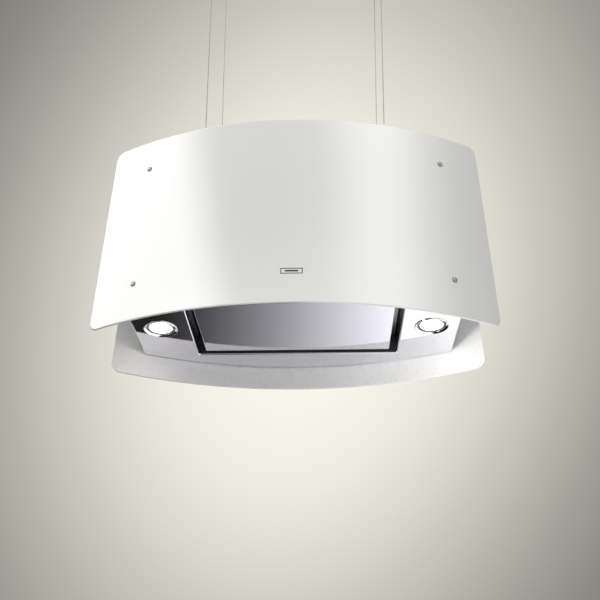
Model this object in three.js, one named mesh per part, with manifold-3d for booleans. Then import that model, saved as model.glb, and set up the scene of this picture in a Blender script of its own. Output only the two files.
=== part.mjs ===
// An island range hood: two bent glass panels on a lens-shaped steel body, hung on four steel wires.
// Millimetres, +Z up. The origin is on the ceiling, in the middle of the four ceiling fittings.
// The hood itself is modelled with z = 0 at the lower edge of the glass, in a group that hangs below.
import * as THREE from "three";
import { mergeVertices } from "three/addons/utils/BufferGeometryUtils.js";
import Module from "manifold-3d";

const wasm = await Module();
wasm.setup();

// ---------------------------------------------------------------- driving dimensions

// Overall
const hoodWidth = 900; // chord of a glass panel along its lower edge
const hoodDepth = 460; // outer glass face to outer glass face at the middle
const glassHeight = 486;
const ceilingHeight = 1400; // ceiling above the lower edge of the glass

// Glass
const glassSideLean = 11.5; // each side edge, inwards from the lower corner to the upper one
const glassBendRadius = 871; // of the outer face
const glassThickness = 6;
const glassCornerRadius = 20;
const studEdgeInset = 99; // stud from the glass's side edge
const upperStudDrop = 84; // stud from the upper edge
const lowerStudRise = 89; // stud from the lower edge
const studShankRadius = 3;
const studLength = 22; // under the cap, through the glass and the rail
const studCapRadius = 5.5;
const studCapHeight = 2.6;

// Casing
const trayHeight = 58; // underside of the tray above the lower edge of the glass
const coverDrop = 16; // top of the cover below the upper edge of the glass
const trayEndRecess = 72; // end of the tray inside the lower corner of the glass
const trayThickness = 1.5;
const coverThickness = 2;
const rimHeight = 14; // turned-up rim of the tray, turned-down rim of the cover
const sheetThickness = 1.2; // walls, deck, filter frame, wells
const endPanelThickness = 1.5;
const endFold = 12;
const wallToGlass = 24; // casing wall behind the glass's inner face
const glassToSheet = 2; // air between the glass and a sheet's edge or a rail
const railWidth = 40;
const railThickness = 2;
const railEndGap = 3;
const outletChamber = 68; // between the deck and the underside of the cover

// Suction opening, its panel and filters
const lampBand = 133.5; // end band of the tray that holds a lamp
const openingCornerMargin = 22.3; // corner of the opening inside the casing wall
const openingFlange = 62; // height of the flange round the opening
const suctionGap = 20; // between the opening and the suction panel
const panelHeight = 16;
const panelSheet = 1.2;
const backingInset = 2; // edge of the backing inside the panel's edge
const hingeInset = 54; // hinge from the end of the panel
const hingeArmWidth = 24;
const hingeArmThickness = 3;
const hingeArmLap = 14; // of an arm on the backing
const knuckleGap = 4; // beside a hinge knuckle in the slot round the panel
const hingeLift = 3; // underside of a knuckle above the underside of the tray
const hingePinRadius = 3;
const hingePinHead = 1.4; // head of the pin over its shank
const earThickness = 2.5;
const hingePlateThickness = 2;
const catchHalfWidth = 24;
const catchHeight = 13;
const catchLap = 16; // of the catch over the backing
const magnetInset = 4; // magnet inside the ends of the catch
const magnetLap = 3; // magnet inside the panel's edge
const magnetProud = 1.5; // magnet below the body of the catch
const frameLedge = 10; // filter frame's land on each side of the opening flange
const filterBar = 16; // bar of the frame between the two filters
const filterThickness = 14;
const filterBorder = 12;
const filterPlay = 3; // round each filter
const slatPitch = 20;
const slatWidth = 14;
const slatHeight = 3;
const slatEdge = 2; // lower slats above the underside of a filter
const slatRise = 6; // upper slats above the lower ones
const latchTravel = 6;
const latchWidth = 26;
const latchHeight = 4;
const latchReach = 4; // tongue of the latch past the face of the opening's flange
const latchGrip = 6; // finger grip below the tongue
const latchGripThickness = 4;

// Blower
const blowerWidth = 180;
const blowerWall = 2.5;
const blowerRoom = 12; // above the filter frame and below the deck
const bladeCount = 24;
const bladeDepth = 19;
const impellerGap = 8; // to the scroll's tongue and side walls
const inletStep = 14; // impeller's outer radius over the inlet's
const motorRadius = 46;
const motorLength = 58;
const shaftRadius = 5;
const scrollGrowth = 0.41; // of the scroll's radius, over its whole turn
const tongueAngle = 70;
const scrollSteps = 29;
const bladeThickness = 1.2;
const bladeBow = 6; // forward curve of a blade over its depth
const rimWidth = 3; // impeller's end rims
const discThickness = 3;
const hubRadius = 14;
const hubLength = 26;
const motorNeckRadius = 26;
const motorGap = 4; // motor to the impeller's hub
const carrierThickness = 3;
const carrierArmWidth = 16;
const carrierLap = 14; // carrier arm over the inlet's edge

// Electrical
const controlLength = 112;
const controlDepth = 150;
const controlHeight = 44;
const controlGap = 30; // control box from the blower
const controlLidLap = 3;
const lampEndInset = 63; // lamp from the end of the tray
const lampRadius = 40; // bezel outside
const lampNeckRadius = 36.5;
const lampLensRadius = 29;
const lampHousingHeight = 34;
const lampNeckHeight = 12; // neck above the underside of the tray
const lampBezelProud = 1.6; // crest of the bezel below its flange
const lampBore = 4; // opening of the bezel round the lens
const lampFinPitch = 8;
const lampFinHeight = 16;
const lampFinThickness = 2;

// Outlet on top
const wellCornerMargin = 55; // outlet well inside the casing wall
const wellToBar = 20; // outlet well from the suspension bar
const wellLip = 10;
const cassetteThickness = 30;
const cassetteGap = 1; // round the cassette in the well
const cassetteFrame = 12; // rim of the cassette round its fleece
const cassetteBar = 12; // bar across the middle
const cassettePocket = 4; // fleece below the rim
const grilleOverlap = 10;
const grilleThickness = 2;
const grilleSlot = 9;
const grillePitch = 20;
const grilleBar = 12; // bar along the middle of the grille

// Suspension
const wireSpacingX = 436; // at the hood
const wireWallInset = 21; // wire inside the casing wall
const wireSplay = 24; // sideways at the ceiling, beyond the hood's attachment
const wireDiameter = 2;
const barWidth = 30;
const barHeight = 18;
const gripperRadius = 7;
const gripperLength = 50;
const gripperStudRadius = 3;
const gripperStudLength = 16;
const plungerRadius = 4;
const plungerDepth = 14; // inside the gripper's barrel
const plungerProud = 14; // above the barrel
const plungerTravel = 3;
const gripperFlange = 2; // flange of the barrel over its radius
const wireBoreGap = 0.8; // round the wire in a plunger or a ceiling fitting
const wireHold = 10; // of the wire inside the plunger and inside the ceiling fitting
const ceilingFittingRadius = 13;
const ceilingFittingHeight = 20;
const glandInset = 60; // cable gland from the end of the cover
const glandRadius = 11;
const glandHeight = 24;

// Clearances
const seam = 0.3; // between pieces that touch
const runningGap = 0.2; // round a shaft or a pin
const slideGap = 0.5; // round a sliding piece
const holeGap = 0.5; // round a screw or a stud in its hole

// Facets
const arcSteps = 32;
const roundSides = 24;
const smallSides = 16;

// ---------------------------------------------------------------- derived places

const centreOffset = hoodDepth / 2 - glassBendRadius;
const trayHalf = hoodWidth / 2 - trayEndRecess;
const trayTop = trayHeight + trayThickness;
const coverTop = glassHeight - coverDrop;
const coverUnder = coverTop - coverThickness;
const sheetInset = glassThickness + glassToSheet;
const wallOuterInset = glassThickness + wallToGlass;
const wallInnerInset = wallOuterInset + sheetThickness;
const endPanelOuter = trayHalf - trayThickness - seam;
const endPanelInner = endPanelOuter - endPanelThickness;
const deckZ = coverUnder - outletChamber;

// Half the hood's depth at x, to the surface that lies inset inside the glass's outer face.
const halfDepthAt = (x, inset) => centreOffset + Math.sqrt((glassBendRadius - inset) ** 2 - x ** 2);
// Half the chord of the glass at height z.
const glassHalfChord = (z) => hoodWidth / 2 - (glassSideLean * z) / glassHeight;

const openingHalfX = trayHalf - lampBand;
const openingHalfY = halfDepthAt(openingHalfX, wallInnerInset) - openingCornerMargin;
const flangeTop = trayHeight + openingFlange;
const panelHalfX = openingHalfX - suctionGap;
const panelHalfY = openingHalfY - suctionGap;
const panelTop = trayHeight + panelHeight;
const backingTop = panelTop + seam + panelSheet;
const hingeX = panelHalfX - hingeInset;
const hingeY = -(panelHalfY + suctionGap / 2);
const knuckleRadius = suctionGap / 2 - knuckleGap;
const hingeZ = trayHeight + knuckleRadius + hingeLift;
const frameTop = flangeTop + seam + sheetThickness;
const filterTop = flangeTop;
const filterZ = filterTop - filterThickness;
const filterHalfY = openingHalfY - filterPlay;
const filterInnerX = filterPlay / 2;
const filterOuterX = openingHalfX - filterPlay;
const latchX = (filterInnerX + filterOuterX) / 2;
const latchTop = filterZ - seam;

const lampX = trayHalf - lampEndInset;

const wireX = wireSpacingX / 2;
const wireY = halfDepthAt(wireX, wallInnerInset) - wireWallInset;
const gripperTop = coverTop + seam + gripperLength;
const plungerTop = gripperTop + plungerProud;
const ceilingFittingZ = ceilingHeight - ceilingFittingHeight;
const wellHalfX = wireX - barWidth / 2 - wellToBar;
const wellHalfY = halfDepthAt(wellHalfX, wallInnerInset) - wellCornerMargin;
const wellFloor = coverTop - cassetteThickness - 2 * seam - sheetThickness;

// ---------------------------------------------------------------- finishes

const finish = (color, roughness, metalness) =>
  new THREE.MeshStandardMaterial({ color, roughness, metalness });
const whiteGlass = finish(0xf2f2f0, 0.05, 0);
const polishedSteel = finish(0xc9c8cc, 0.08, 1);
const satinSteel = finish(0xb9babc, 0.35, 1);
const chrome = finish(0xe4e4e6, 0.05, 1);
const zincSteel = finish(0x9fa3a6, 0.45, 1);
const aluminium = finish(0xbfc2c4, 0.4, 1);
const blackPlastic = finish(0x17171a, 0.5, 0);
const greyPlastic = finish(0x4a4c50, 0.55, 0);
const charcoalFleece = finish(0x1f1f20, 0.95, 0);
const lampWhite = finish(0xffffff, 0.3, 0);
const wireSteel = finish(0x8f9296, 0.35, 1);

// ---------------------------------------------------------------- shape helpers

// A closed three.js geometry as a manifold solid.
function solid(geometry) {
  const bare = geometry.clone();
  bare.deleteAttribute("normal");
  bare.deleteAttribute("uv");
  const merged = mergeVertices(bare, 1e-4);
  return new wasm.Manifold(
    new wasm.Mesh({
      numProp: 3,
      vertProperties: new Float32Array(merged.attributes.position.array),
      triVerts: new Uint32Array(merged.index.array),
    }),
  );
}

// A manifold solid as a named three.js mesh.
function piece(name, shape, material) {
  const { vertProperties, triVerts } = shape.getMesh();
  const geometry = new THREE.BufferGeometry();
  geometry.setAttribute("position", new THREE.BufferAttribute(new Float32Array(vertProperties), 3));
  geometry.setIndex(new THREE.BufferAttribute(new Uint32Array(triVerts), 1));
  geometry.computeVertexNormals();
  const mesh = new THREE.Mesh(geometry, material);
  mesh.name = name;
  return mesh;
}

const unite = (shapes) => shapes.reduce((all, next) => all.add(next));
const cut = (shape, tools) => shape.subtract(unite(tools));

// A box between two corners.
function box(x0, x1, y0, y1, z0, z1) {
  const geometry = new THREE.BoxGeometry(x1 - x0, y1 - y0, z1 - z0);
  return solid(geometry.translate((x0 + x1) / 2, (y0 + y1) / 2, (z0 + z1) / 2));
}

// A box that is the same on both sides of x = 0 and y = 0.
const centredBox = (halfX, halfY, z0, z1) => box(-halfX, halfX, -halfY, halfY, z0, z1);

// A round bar along Z between two heights.
function barZ(radius, z0, z1, x = 0, y = 0, sides = smallSides) {
  const geometry = new THREE.CylinderGeometry(radius, radius, z1 - z0, sides);
  return solid(geometry.rotateX(Math.PI / 2).translate(x, y, (z0 + z1) / 2));
}

// A round bar along X between two places.
function barX(radius, x0, x1, y, z, sides = smallSides) {
  const geometry = new THREE.CylinderGeometry(radius, radius, x1 - x0, sides);
  return solid(geometry.rotateZ(Math.PI / 2).translate((x0 + x1) / 2, y, z));
}

// A closed profile of [radius, height] pairs turned about Z, listed so that the solid lies on its left.
function turned(profile, sides = roundSides) {
  const points = [...profile, profile[0]].map(([r, z]) => new THREE.Vector2(r, z));
  return solid(new THREE.LatheGeometry(points, sides).rotateX(Math.PI / 2));
}

// An outline in plan, raised from z0 to z1.
function raised(outline, z0, z1) {
  const geometry = new THREE.ExtrudeGeometry(new THREE.Shape(outline), {
    depth: z1 - z0,
    bevelEnabled: false,
  });
  return solid(geometry.translate(0, 0, z0));
}

// An outline in (x, z), carried along Y from y0 to y1.
function alongY(outline, y0, y1) {
  const geometry = new THREE.ExtrudeGeometry(new THREE.Shape(outline), {
    depth: y1 - y0,
    bevelEnabled: false,
  });
  return solid(geometry.rotateX(Math.PI / 2).translate(0, y1, 0));
}

// An outline in (y, z), carried along X from x0 to x1.
function alongX(outline, x0, x1) {
  const geometry = new THREE.ExtrudeGeometry(new THREE.Shape(outline), {
    depth: x1 - x0,
    bevelEnabled: false,
  });
  const turn = new THREE.Matrix4().makeBasis(
    new THREE.Vector3(0, 1, 0),
    new THREE.Vector3(0, 0, 1),
    new THREE.Vector3(1, 0, 0),
  );
  return solid(geometry.applyMatrix4(turn).translate(x0, 0, 0));
}

// Points along y = side * halfDepthAt(x, inset), from x0 to x1.
function bentLine(x0, x1, inset, side) {
  return Array.from({ length: arcSteps + 1 }, (_, i) => {
    const x = x0 + ((x1 - x0) * i) / arcSteps;
    return new THREE.Vector2(x, side * halfDepthAt(x, inset));
  });
}

// The lens between the two bent glass panels, inset inside their outer faces, cut off at x = -half and half.
const lens = (half, inset) => [...bentLine(-half, half, inset, -1), ...bentLine(half, -half, inset, 1)];

// The plan of a sheet bent with the front glass, between two insets.
const bentSheet = (half, outer, inner) => [
  ...bentLine(-half, half, outer, -1),
  ...bentLine(half, -half, inner, -1),
];

// A polygon with its corners rounded by arcs of one radius.
function rounded(corners, radius, steps = 8) {
  return corners.flatMap((corner, i) => {
    const before = corners[(i + corners.length - 1) % corners.length].clone().sub(corner).normalize();
    const after = corners[(i + 1) % corners.length].clone().sub(corner).normalize();
    const half = Math.acos(before.dot(after)) / 2;
    const centre = before.clone().add(after).normalize().multiplyScalar(radius / Math.sin(half)).add(corner);
    const from = before.clone().multiplyScalar(radius / Math.tan(half)).add(corner).sub(centre);
    const sweep = Math.PI - 2 * half;
    return Array.from({ length: steps + 1 }, (_, k) =>
      from.clone().rotateAround(new THREE.Vector2(), (sweep * k) / steps).add(centre),
    );
  });
}

// ---------------------------------------------------------------- glass and its studs

const studs = [
  { level: "lower", z: lowerStudRise },
  { level: "upper", z: glassHeight - upperStudDrop },
].map(({ level, z }) => ({ level, z, x: glassHalfChord(z) - studEdgeInset }));
const railX = (studs[0].x + studs[1].x) / 2;

// The turn that lays +Z on the front glass's outward normal at the rail on one side.
function glassNormal(side) {
  const sine = (side * railX) / glassBendRadius;
  const normal = new THREE.Vector3(sine, -Math.sqrt(1 - sine ** 2), 0);
  return new THREE.Quaternion().setFromUnitVectors(new THREE.Vector3(0, 0, 1), normal);
}

// Puts a solid made about +Z at the glass's outer face, on its normal.
function onGlass(shape, side, x, z) {
  const place = new THREE.Matrix4().compose(
    new THREE.Vector3(side * x, -halfDepthAt(x, 0), z),
    glassNormal(side),
    new THREE.Vector3(1, 1, 1),
  );
  return shape.transform(place.elements);
}

// The holes for the four studs of one panel, from in front of the glass to behind the casing wall.
function studHoles() {
  const drill = barZ(studShankRadius + holeGap, -wallInnerInset - 10, studCapHeight + 5);
  return [-1, 1].flatMap((side) => studs.map(({ x, z }) => onGlass(drill, side, x, z)));
}

function glassPanel(name) {
  const bottom = glassHalfChord(0);
  const top = glassHalfChord(glassHeight);
  const sides = rounded(
    [
      new THREE.Vector2(-bottom, 0),
      new THREE.Vector2(bottom, 0),
      new THREE.Vector2(top, glassHeight),
      new THREE.Vector2(-top, glassHeight),
    ],
    glassCornerRadius,
  );
  const bent = raised(bentSheet(bottom + 1, 0, glassThickness), -1, glassHeight + 1);
  const flatCut = alongY(sides, -hoodDepth, 0);
  return piece(name, cut(bent.intersect(flatCut), studHoles()), whiteGlass);
}

// A polished cap with its shank; the cap lies outside the glass.
function glassStud(name, side, { x, z }) {
  const stud = turned(
    [
      [0, -studLength],
      [studShankRadius, -studLength],
      [studShankRadius, seam],
      [studCapRadius, seam],
      [studCapRadius, studCapHeight - 0.8],
      [studCapRadius - 1, studCapHeight],
      [0, studCapHeight + 0.3],
    ],
    smallSides,
  );
  const mesh = piece(name, stud, chrome);
  mesh.position.set(side * x, -halfDepthAt(x, 0), z);
  mesh.quaternion.copy(glassNormal(side));
  return mesh;
}

// ---------------------------------------------------------------- casing

// One upright rail: a channel open towards the wall, its web behind the glass.
function rail(side) {
  const z0 = trayHeight + rimHeight + railEndGap;
  const z1 = coverTop - rimHeight - railEndGap;
  const middle = (z0 + z1) / 2;
  const tall = (z1 - z0) / 2;
  const web = -sheetInset;
  const foot = -wallOuterInset - sheetThickness / 2;
  const half = railWidth / 2;
  // Made lying on the glass: its width along X, its length along Y, its depth along Z.
  const outer = box(-half, half, -tall, tall, foot, web);
  const inner = box(
    -half + railThickness,
    half - railThickness,
    -tall - 1,
    tall + 1,
    foot - 1,
    web - railThickness,
  );
  const upright = new THREE.Matrix4().makeBasis(
    new THREE.Vector3(-1, 0, 0),
    new THREE.Vector3(0, 0, 1),
    new THREE.Vector3(0, 1, 0),
  );
  const channel = outer.subtract(inner).transform(upright.elements);
  const lean = Math.asin(railX / glassBendRadius) * side;
  const place = new THREE.Matrix4()
    .makeRotationZ(lean + Math.PI)
    .setPosition(side * railX, -halfDepthAt(railX, 0), middle);
  return channel.transform(place.elements);
}

function casingWall(name) {
  const sheet = raised(
    bentSheet(endPanelInner - seam, wallOuterInset, wallInnerInset),
    trayTop + seam,
    coverUnder - seam,
  );
  const shape = unite([sheet, rail(-1), rail(1)]);
  return piece(name, cut(shape, studHoles()), zincSteel);
}

// A flat end with two folds that lie along the walls, up to the deck that rests on them.
function endPanel(name) {
  const halfY = halfDepthAt(endPanelOuter, wallOuterInset);
  const sheet = box(endPanelInner, endPanelOuter, -halfY, halfY, trayTop + seam, coverUnder - seam);
  const foldY = halfDepthAt(endPanelInner, wallInnerInset) - seam;
  const folds = [-foldY, foldY - endPanelThickness].map((y) =>
    box(
      endPanelInner - endFold,
      endPanelInner + endPanelThickness / 2,
      y,
      y + endPanelThickness,
      flangeTop,
      deckZ - seam,
    ),
  );
  return piece(name, unite([sheet, ...folds]), satinSteel);
}

function bottomTray() {
  const pan = cut(raised(lens(trayHalf, sheetInset), trayHeight, trayHeight + rimHeight), [
    raised(lens(trayHalf - trayThickness, sheetInset + trayThickness), trayTop, trayTop + rimHeight),
  ]);
  const flange = centredBox(
    openingHalfX + trayThickness,
    openingHalfY + trayThickness,
    trayHeight,
    flangeTop,
  );
  const slots = [-1, 1].map((side) =>
    box(
      side * latchX - latchWidth / 2 - slideGap,
      side * latchX + latchWidth / 2 + slideGap,
      openingHalfY - 1,
      openingHalfY + trayThickness + 1,
      latchTop - latchHeight - slideGap,
      latchTop + slideGap,
    ),
  );
  const holes = [-1, 1].map((side) =>
    barZ(lampNeckRadius + holeGap, trayHeight - 1, trayTop + 1, side * lampX, 0, roundSides),
  );
  const opening = centredBox(openingHalfX, openingHalfY, trayHeight - 1, flangeTop + 1);
  return piece("bottom_tray", cut(pan.add(flange), [opening, ...holes, ...slots]), polishedSteel);
}

// A hat-shaped bar under the cover, from front to back, that the wire grippers are bolted to.
function suspensionBar(side) {
  const halfY = halfDepthAt(wireX + barWidth / 2, wallInnerInset) - sheetThickness;
  const x0 = side * wireX - barWidth / 2;
  const bar = box(x0, x0 + barWidth, -halfY, halfY, coverUnder - barHeight, coverUnder + seam);
  const inside = box(
    x0 + coverThickness,
    x0 + barWidth - coverThickness,
    -halfY - 1,
    halfY + 1,
    coverUnder - barHeight + coverThickness,
    coverUnder,
  );
  return bar.subtract(inside);
}

function topCover() {
  const pan = cut(raised(lens(trayHalf, sheetInset), coverTop - rimHeight, coverTop), [
    raised(lens(trayHalf - trayThickness, sheetInset + trayThickness), coverTop - rimHeight - 1, coverUnder),
  ]);
  const well = centredBox(wellHalfX + sheetThickness, wellHalfY + sheetThickness, wellFloor, coverTop);
  const tools = [
    centredBox(wellHalfX, wellHalfY, wellFloor + sheetThickness, coverTop + 1),
    centredBox(wellHalfX - wellLip, wellHalfY - wellLip, wellFloor - 1, coverTop + 1),
    barZ(glandRadius - 3 + holeGap, coverUnder - 1, coverTop + 1, trayHalf - glandInset, 0),
  ];
  for (const sx of [-1, 1])
    for (const sy of [-1, 1])
      tools.push(
        barZ(gripperStudRadius + holeGap, coverUnder - barHeight - 1, coverTop + 1, sx * wireX, sy * wireY),
      );
  const shape = unite([pan, suspensionBar(-1), suspensionBar(1), well]);
  return piece("top_cover", cut(shape, tools), satinSteel);
}

// ---------------------------------------------------------------- suction panel and its hinges

function suctionPanel() {
  const pan = centredBox(panelHalfX, panelHalfY, trayHeight, panelTop);
  const hollow = centredBox(
    panelHalfX - panelSheet,
    panelHalfY - panelSheet,
    trayHeight + panelSheet,
    panelTop + 1,
  );
  return piece("suction_panel", pan.subtract(hollow), polishedSteel);
}

// The plate on the back of the panel, with its two welded hinge arms.
function panelBacking() {
  const plate = centredBox(
    panelHalfX - backingInset,
    panelHalfY - backingInset,
    panelTop + seam,
    backingTop,
  );
  const half = hingeArmThickness / 2;
  const arms = [-1, 1].flatMap((side) => {
    const x0 = side * hingeX - hingeArmWidth / 2;
    const x1 = x0 + hingeArmWidth;
    return [
      box(x0, x1, hingeY - half, hingeArmLap - panelHalfY, panelTop + seam, panelTop + seam + 2 * half),
      box(x0, x1, hingeY - half, hingeY + half, hingeZ, panelTop + seam + half),
      barX(knuckleRadius, x0, x1, hingeY, hingeZ),
    ];
  });
  const bores = [-1, 1].map((side) =>
    barX(
      hingePinRadius + runningGap,
      side * hingeX - hingeArmWidth,
      side * hingeX + hingeArmWidth,
      hingeY,
      hingeZ,
    ),
  );
  return piece("panel_backing", cut(unite([plate, ...arms]), bores), zincSteel);
}

const earOuter = hingeArmWidth / 2 + slideGap + earThickness;

// The fixed half of a hinge: a plate on the opening's front flange with two ears.
function hingeBracket(name, side) {
  const x = side * hingeX;
  const back = -openingHalfY + seam;
  const z0 = hingeZ - knuckleRadius;
  const z1 = hingeZ + knuckleRadius + knuckleGap;
  const plate = box(x - earOuter, x + earOuter, back, back + hingePlateThickness, z0, z1);
  const ears = [-1, 1].map((end) => {
    const inner = x + end * (earOuter - earThickness);
    const outer = x + end * earOuter;
    return box(Math.min(inner, outer), Math.max(inner, outer), back, hingeY + knuckleRadius, z0, z1);
  });
  const bore = barX(hingePinRadius + runningGap, x - earOuter - 1, x + earOuter + 1, hingeY, hingeZ);
  return piece(name, cut(unite([plate, ...ears]), [bore]), zincSteel);
}

function hingePin(name, side) {
  const x = side * hingeX;
  const end = earOuter + 2;
  const pin = barX(hingePinRadius, x - end, x + end, hingeY, hingeZ);
  const head = barX(hingePinRadius + hingePinHead, x + earOuter + seam, x + end, hingeY, hingeZ);
  return piece(name, pin.add(head), chrome);
}

// The magnetic catch on the opening's rear flange; its magnet faces down onto the panel's backing.
function panelCatch() {
  const half = catchHalfWidth;
  const back = openingHalfY - seam;
  const bottom = backingTop + slideGap;
  const underside = bottom + magnetProud;
  const body = box(-half, half, panelHalfY - catchLap, back, underside, bottom + catchHeight);
  const magnet = box(
    magnetInset - half,
    half - magnetInset,
    panelHalfY - catchLap + 2,
    panelHalfY - magnetLap,
    bottom,
    underside + magnetProud,
  );
  return piece("panel_catch", body.add(magnet), blackPlastic);
}

// ---------------------------------------------------------------- filters

function filterFrame() {
  const plate = centredBox(
    openingHalfX + trayThickness + frameLedge,
    openingHalfY + trayThickness + frameLedge,
    flangeTop + seam,
    frameTop,
  );
  const land = frameLedge;
  const windows = [-1, 1].map((side) => {
    const inner = side * (filterBar / 2);
    const outer = side * (openingHalfX - land);
    return box(
      Math.min(inner, outer),
      Math.max(inner, outer),
      -openingHalfY + land,
      openingHalfY - land,
      flangeTop,
      frameTop + 1,
    );
  });
  return piece("filter_frame", cut(plate, windows), zincSteel);
}

// A grease filter: an aluminium border with two staggered rows of slats that catch the grease.
function greaseFilter(name, side) {
  const x0 = side < 0 ? -filterOuterX : filterInnerX;
  const x1 = x0 + filterOuterX - filterInnerX;
  const top = filterTop - seam;
  const border = cut(box(x0, x1, -filterHalfY, filterHalfY, filterZ, top), [
    box(
      x0 + filterBorder,
      x1 - filterBorder,
      -filterHalfY + filterBorder,
      filterHalfY - filterBorder,
      filterZ - 1,
      top + 1,
    ),
  ]);
  const room = x1 - x0 - 2 * filterBorder;
  const count = Math.floor(room / slatPitch);
  const margin = (room - (count - 0.5) * slatPitch) / 2;
  const slats = Array.from({ length: 2 * count - 1 }, (_, i) => {
    const x = x0 + filterBorder + margin + ((i + 0.5) * slatPitch) / 2;
    const z = filterZ + slatEdge + (i % 2 ? slatRise : 0);
    const halfY = filterHalfY - filterBorder / 2;
    return box(x - slatWidth / 2, x + slatWidth / 2, -halfY, halfY, z, z + slatHeight);
  });
  return piece(name, unite([border, ...slats]), aluminium);
}

// The slider under a filter's rear border, with its tongue in the slot of the flange.
function filterLatch(name, side) {
  const x = side * latchX;
  const half = latchWidth / 2;
  const front = filterHalfY - filterBorder - latchTravel;
  const under = latchTop - latchHeight;
  const tongue = box(x - half, x + half, front, openingHalfY + latchReach, under, latchTop);
  const grip = box(x - half, x + half, front, front + latchGripThickness, under - latchGrip, latchTop);
  return piece(name, tongue.add(grip), greyPlastic);
}

// ---------------------------------------------------------------- blower

const blowerBottom = frameTop + blowerRoom;
const blowerTop = deckZ - blowerRoom;
const scrollTurn = 360 - tongueAngle;
const growthAt = (angle) => 1 + (scrollGrowth * (angle - tongueAngle)) / scrollTurn;
// The scroll takes the height between the filters and the deck, or the depth between the walls.
const roomHigh = (blowerTop - blowerBottom) / (growthAt(90) + growthAt(270));
const roomDeep =
  (2 * halfDepthAt(blowerWidth / 2, wallInnerInset) - 2 * blowerRoom) / (growthAt(180) + growthAt(360));
const tongueRadius = Math.min(roomHigh, roomDeep);
const scrollY = (tongueRadius * (growthAt(180) - growthAt(360))) / 2;
const scrollZ = blowerTop - tongueRadius * growthAt(90);
const impellerRadius = tongueRadius - blowerWall - impellerGap;
const impellerHalf = blowerWidth / 2 - blowerWall - impellerGap;
const inletRadius = impellerRadius - inletStep;

// The scroll in (y, z): a spiral from the tongue round to the outlet, then straight up, shrunk by the wall.
function scrollOutline(wall, top) {
  const spiral = Array.from({ length: scrollSteps + 1 }, (_, i) => {
    const angle = tongueAngle + (scrollTurn * i) / scrollSteps;
    const radius = tongueRadius * growthAt(angle) - wall;
    const turn = (angle * Math.PI) / 180;
    return new THREE.Vector2(scrollY + radius * Math.cos(turn), scrollZ + radius * Math.sin(turn));
  });
  const tongueY = spiral[0].x + (wall ? 2 * wall * Math.cos((tongueAngle * Math.PI) / 180) : 0);
  return [...spiral, new THREE.Vector2(spiral.at(-1).x, top), new THREE.Vector2(tongueY, top)];
}

function blowerHalf(name, side) {
  const ends = (a, b) => (side < 0 ? [-b, -a] : [a, b]);
  const outer = alongX(scrollOutline(0, deckZ - seam), ...ends(seam / 2, blowerWidth / 2));
  const inner = alongX(scrollOutline(blowerWall, deckZ + 5), ...ends(-1, blowerWidth / 2 - blowerWall));
  const inlet = barX(
    inletRadius,
    ...ends(blowerWidth / 2 - blowerWall - 1, blowerWidth / 2 + 1),
    scrollY,
    scrollZ,
    roundSides,
  );
  return piece(name, cut(outer, [inner, inlet]), greyPlastic);
}

const ductY0 = scrollY + tongueRadius * Math.cos((tongueAngle * Math.PI) / 180);
const ductY1 = scrollY + tongueRadius * growthAt(360);

function deckPlate() {
  const plate = raised(lens(endPanelInner - seam, wallInnerInset + seam), deckZ, deckZ + sheetThickness);
  const ductHalf = blowerWidth / 2 - blowerWall;
  const hole = box(
    -ductHalf,
    ductHalf,
    ductY0 + blowerWall,
    ductY1 - blowerWall,
    deckZ - 1,
    deckZ + sheetThickness + 1,
  );
  return piece("deck_plate", plate.subtract(hole), zincSteel);
}

const hubStart = -4;
const motorX1 = hubStart - motorGap;
const motorX0 = motorX1 - motorLength;
const carrierX = -blowerWidth / 2 - seam;

// A forward-curved blade in (y, z), about the impeller's axis.
function bladeOutline() {
  const inner = impellerRadius - bladeDepth;
  const half = bladeThickness / 2;
  const line = [0, 0.5, 1].map((t) => [inner + t * (bladeDepth - half), bladeBow * t * t]);
  const front = line.map(([r, s]) => new THREE.Vector2(s + half, r));
  const back = line.map(([r, s]) => new THREE.Vector2(s - half, r));
  return [...back.reverse(), ...front];
}

function impeller() {
  const eye = barX(impellerRadius - bladeDepth - 3, -impellerHalf - 1, impellerHalf + 1, 0, 0, roundSides);
  const ring = (x0, x1) => barX(impellerRadius, x0, x1, 0, 0, roundSides).subtract(eye);
  const blades = Array.from({ length: bladeCount }, (_, i) =>
    alongX(bladeOutline(), -impellerHalf + 1, impellerHalf - 1).rotate([(360 * i) / bladeCount, 0, 0]),
  );
  const half = discThickness / 2;
  const disc = barX(impellerRadius - bladeDepth + 4, -half, half, 0, 0, roundSides);
  const hub = barX(hubRadius, hubStart, hubStart + hubLength, 0, 0);
  const bore = barX(shaftRadius + seam, hubStart - 1, hubStart + hubLength + 1, 0, 0);
  const shape = unite([
    ring(-impellerHalf, -impellerHalf + rimWidth),
    ring(impellerHalf - rimWidth, impellerHalf),
    ...blades,
    disc,
    hub,
  ]);
  return piece("impeller", shape.subtract(bore), greyPlastic);
}

// The motor hangs in the left inlet on a carrier with three arms.
function motor() {
  const body = barX(motorRadius, motorX0, motorX1, 0, 0, roundSides);
  const back = carrierX - carrierThickness;
  const neck = barX(motorNeckRadius, back, motorX0 + 1, 0, 0, roundSides);
  const half = carrierArmWidth / 2;
  const arm = box(back, carrierX, -half, half, 0, inletRadius + carrierLap);
  const arms = [90, 210, 330].map((angle) => arm.rotate([angle, 0, 0]));
  const bore = barX(shaftRadius + runningGap, motorX0 + 6, motorX1 + 1, 0, 0);
  return piece("motor", cut(unite([body, neck, ...arms]), [bore]), zincSteel);
}

function motorShaft() {
  const end = hubStart + hubLength + 4;
  return piece("motor_shaft", barX(shaftRadius, motorX0 + 8, end, 0, 0), chrome);
}

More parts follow.
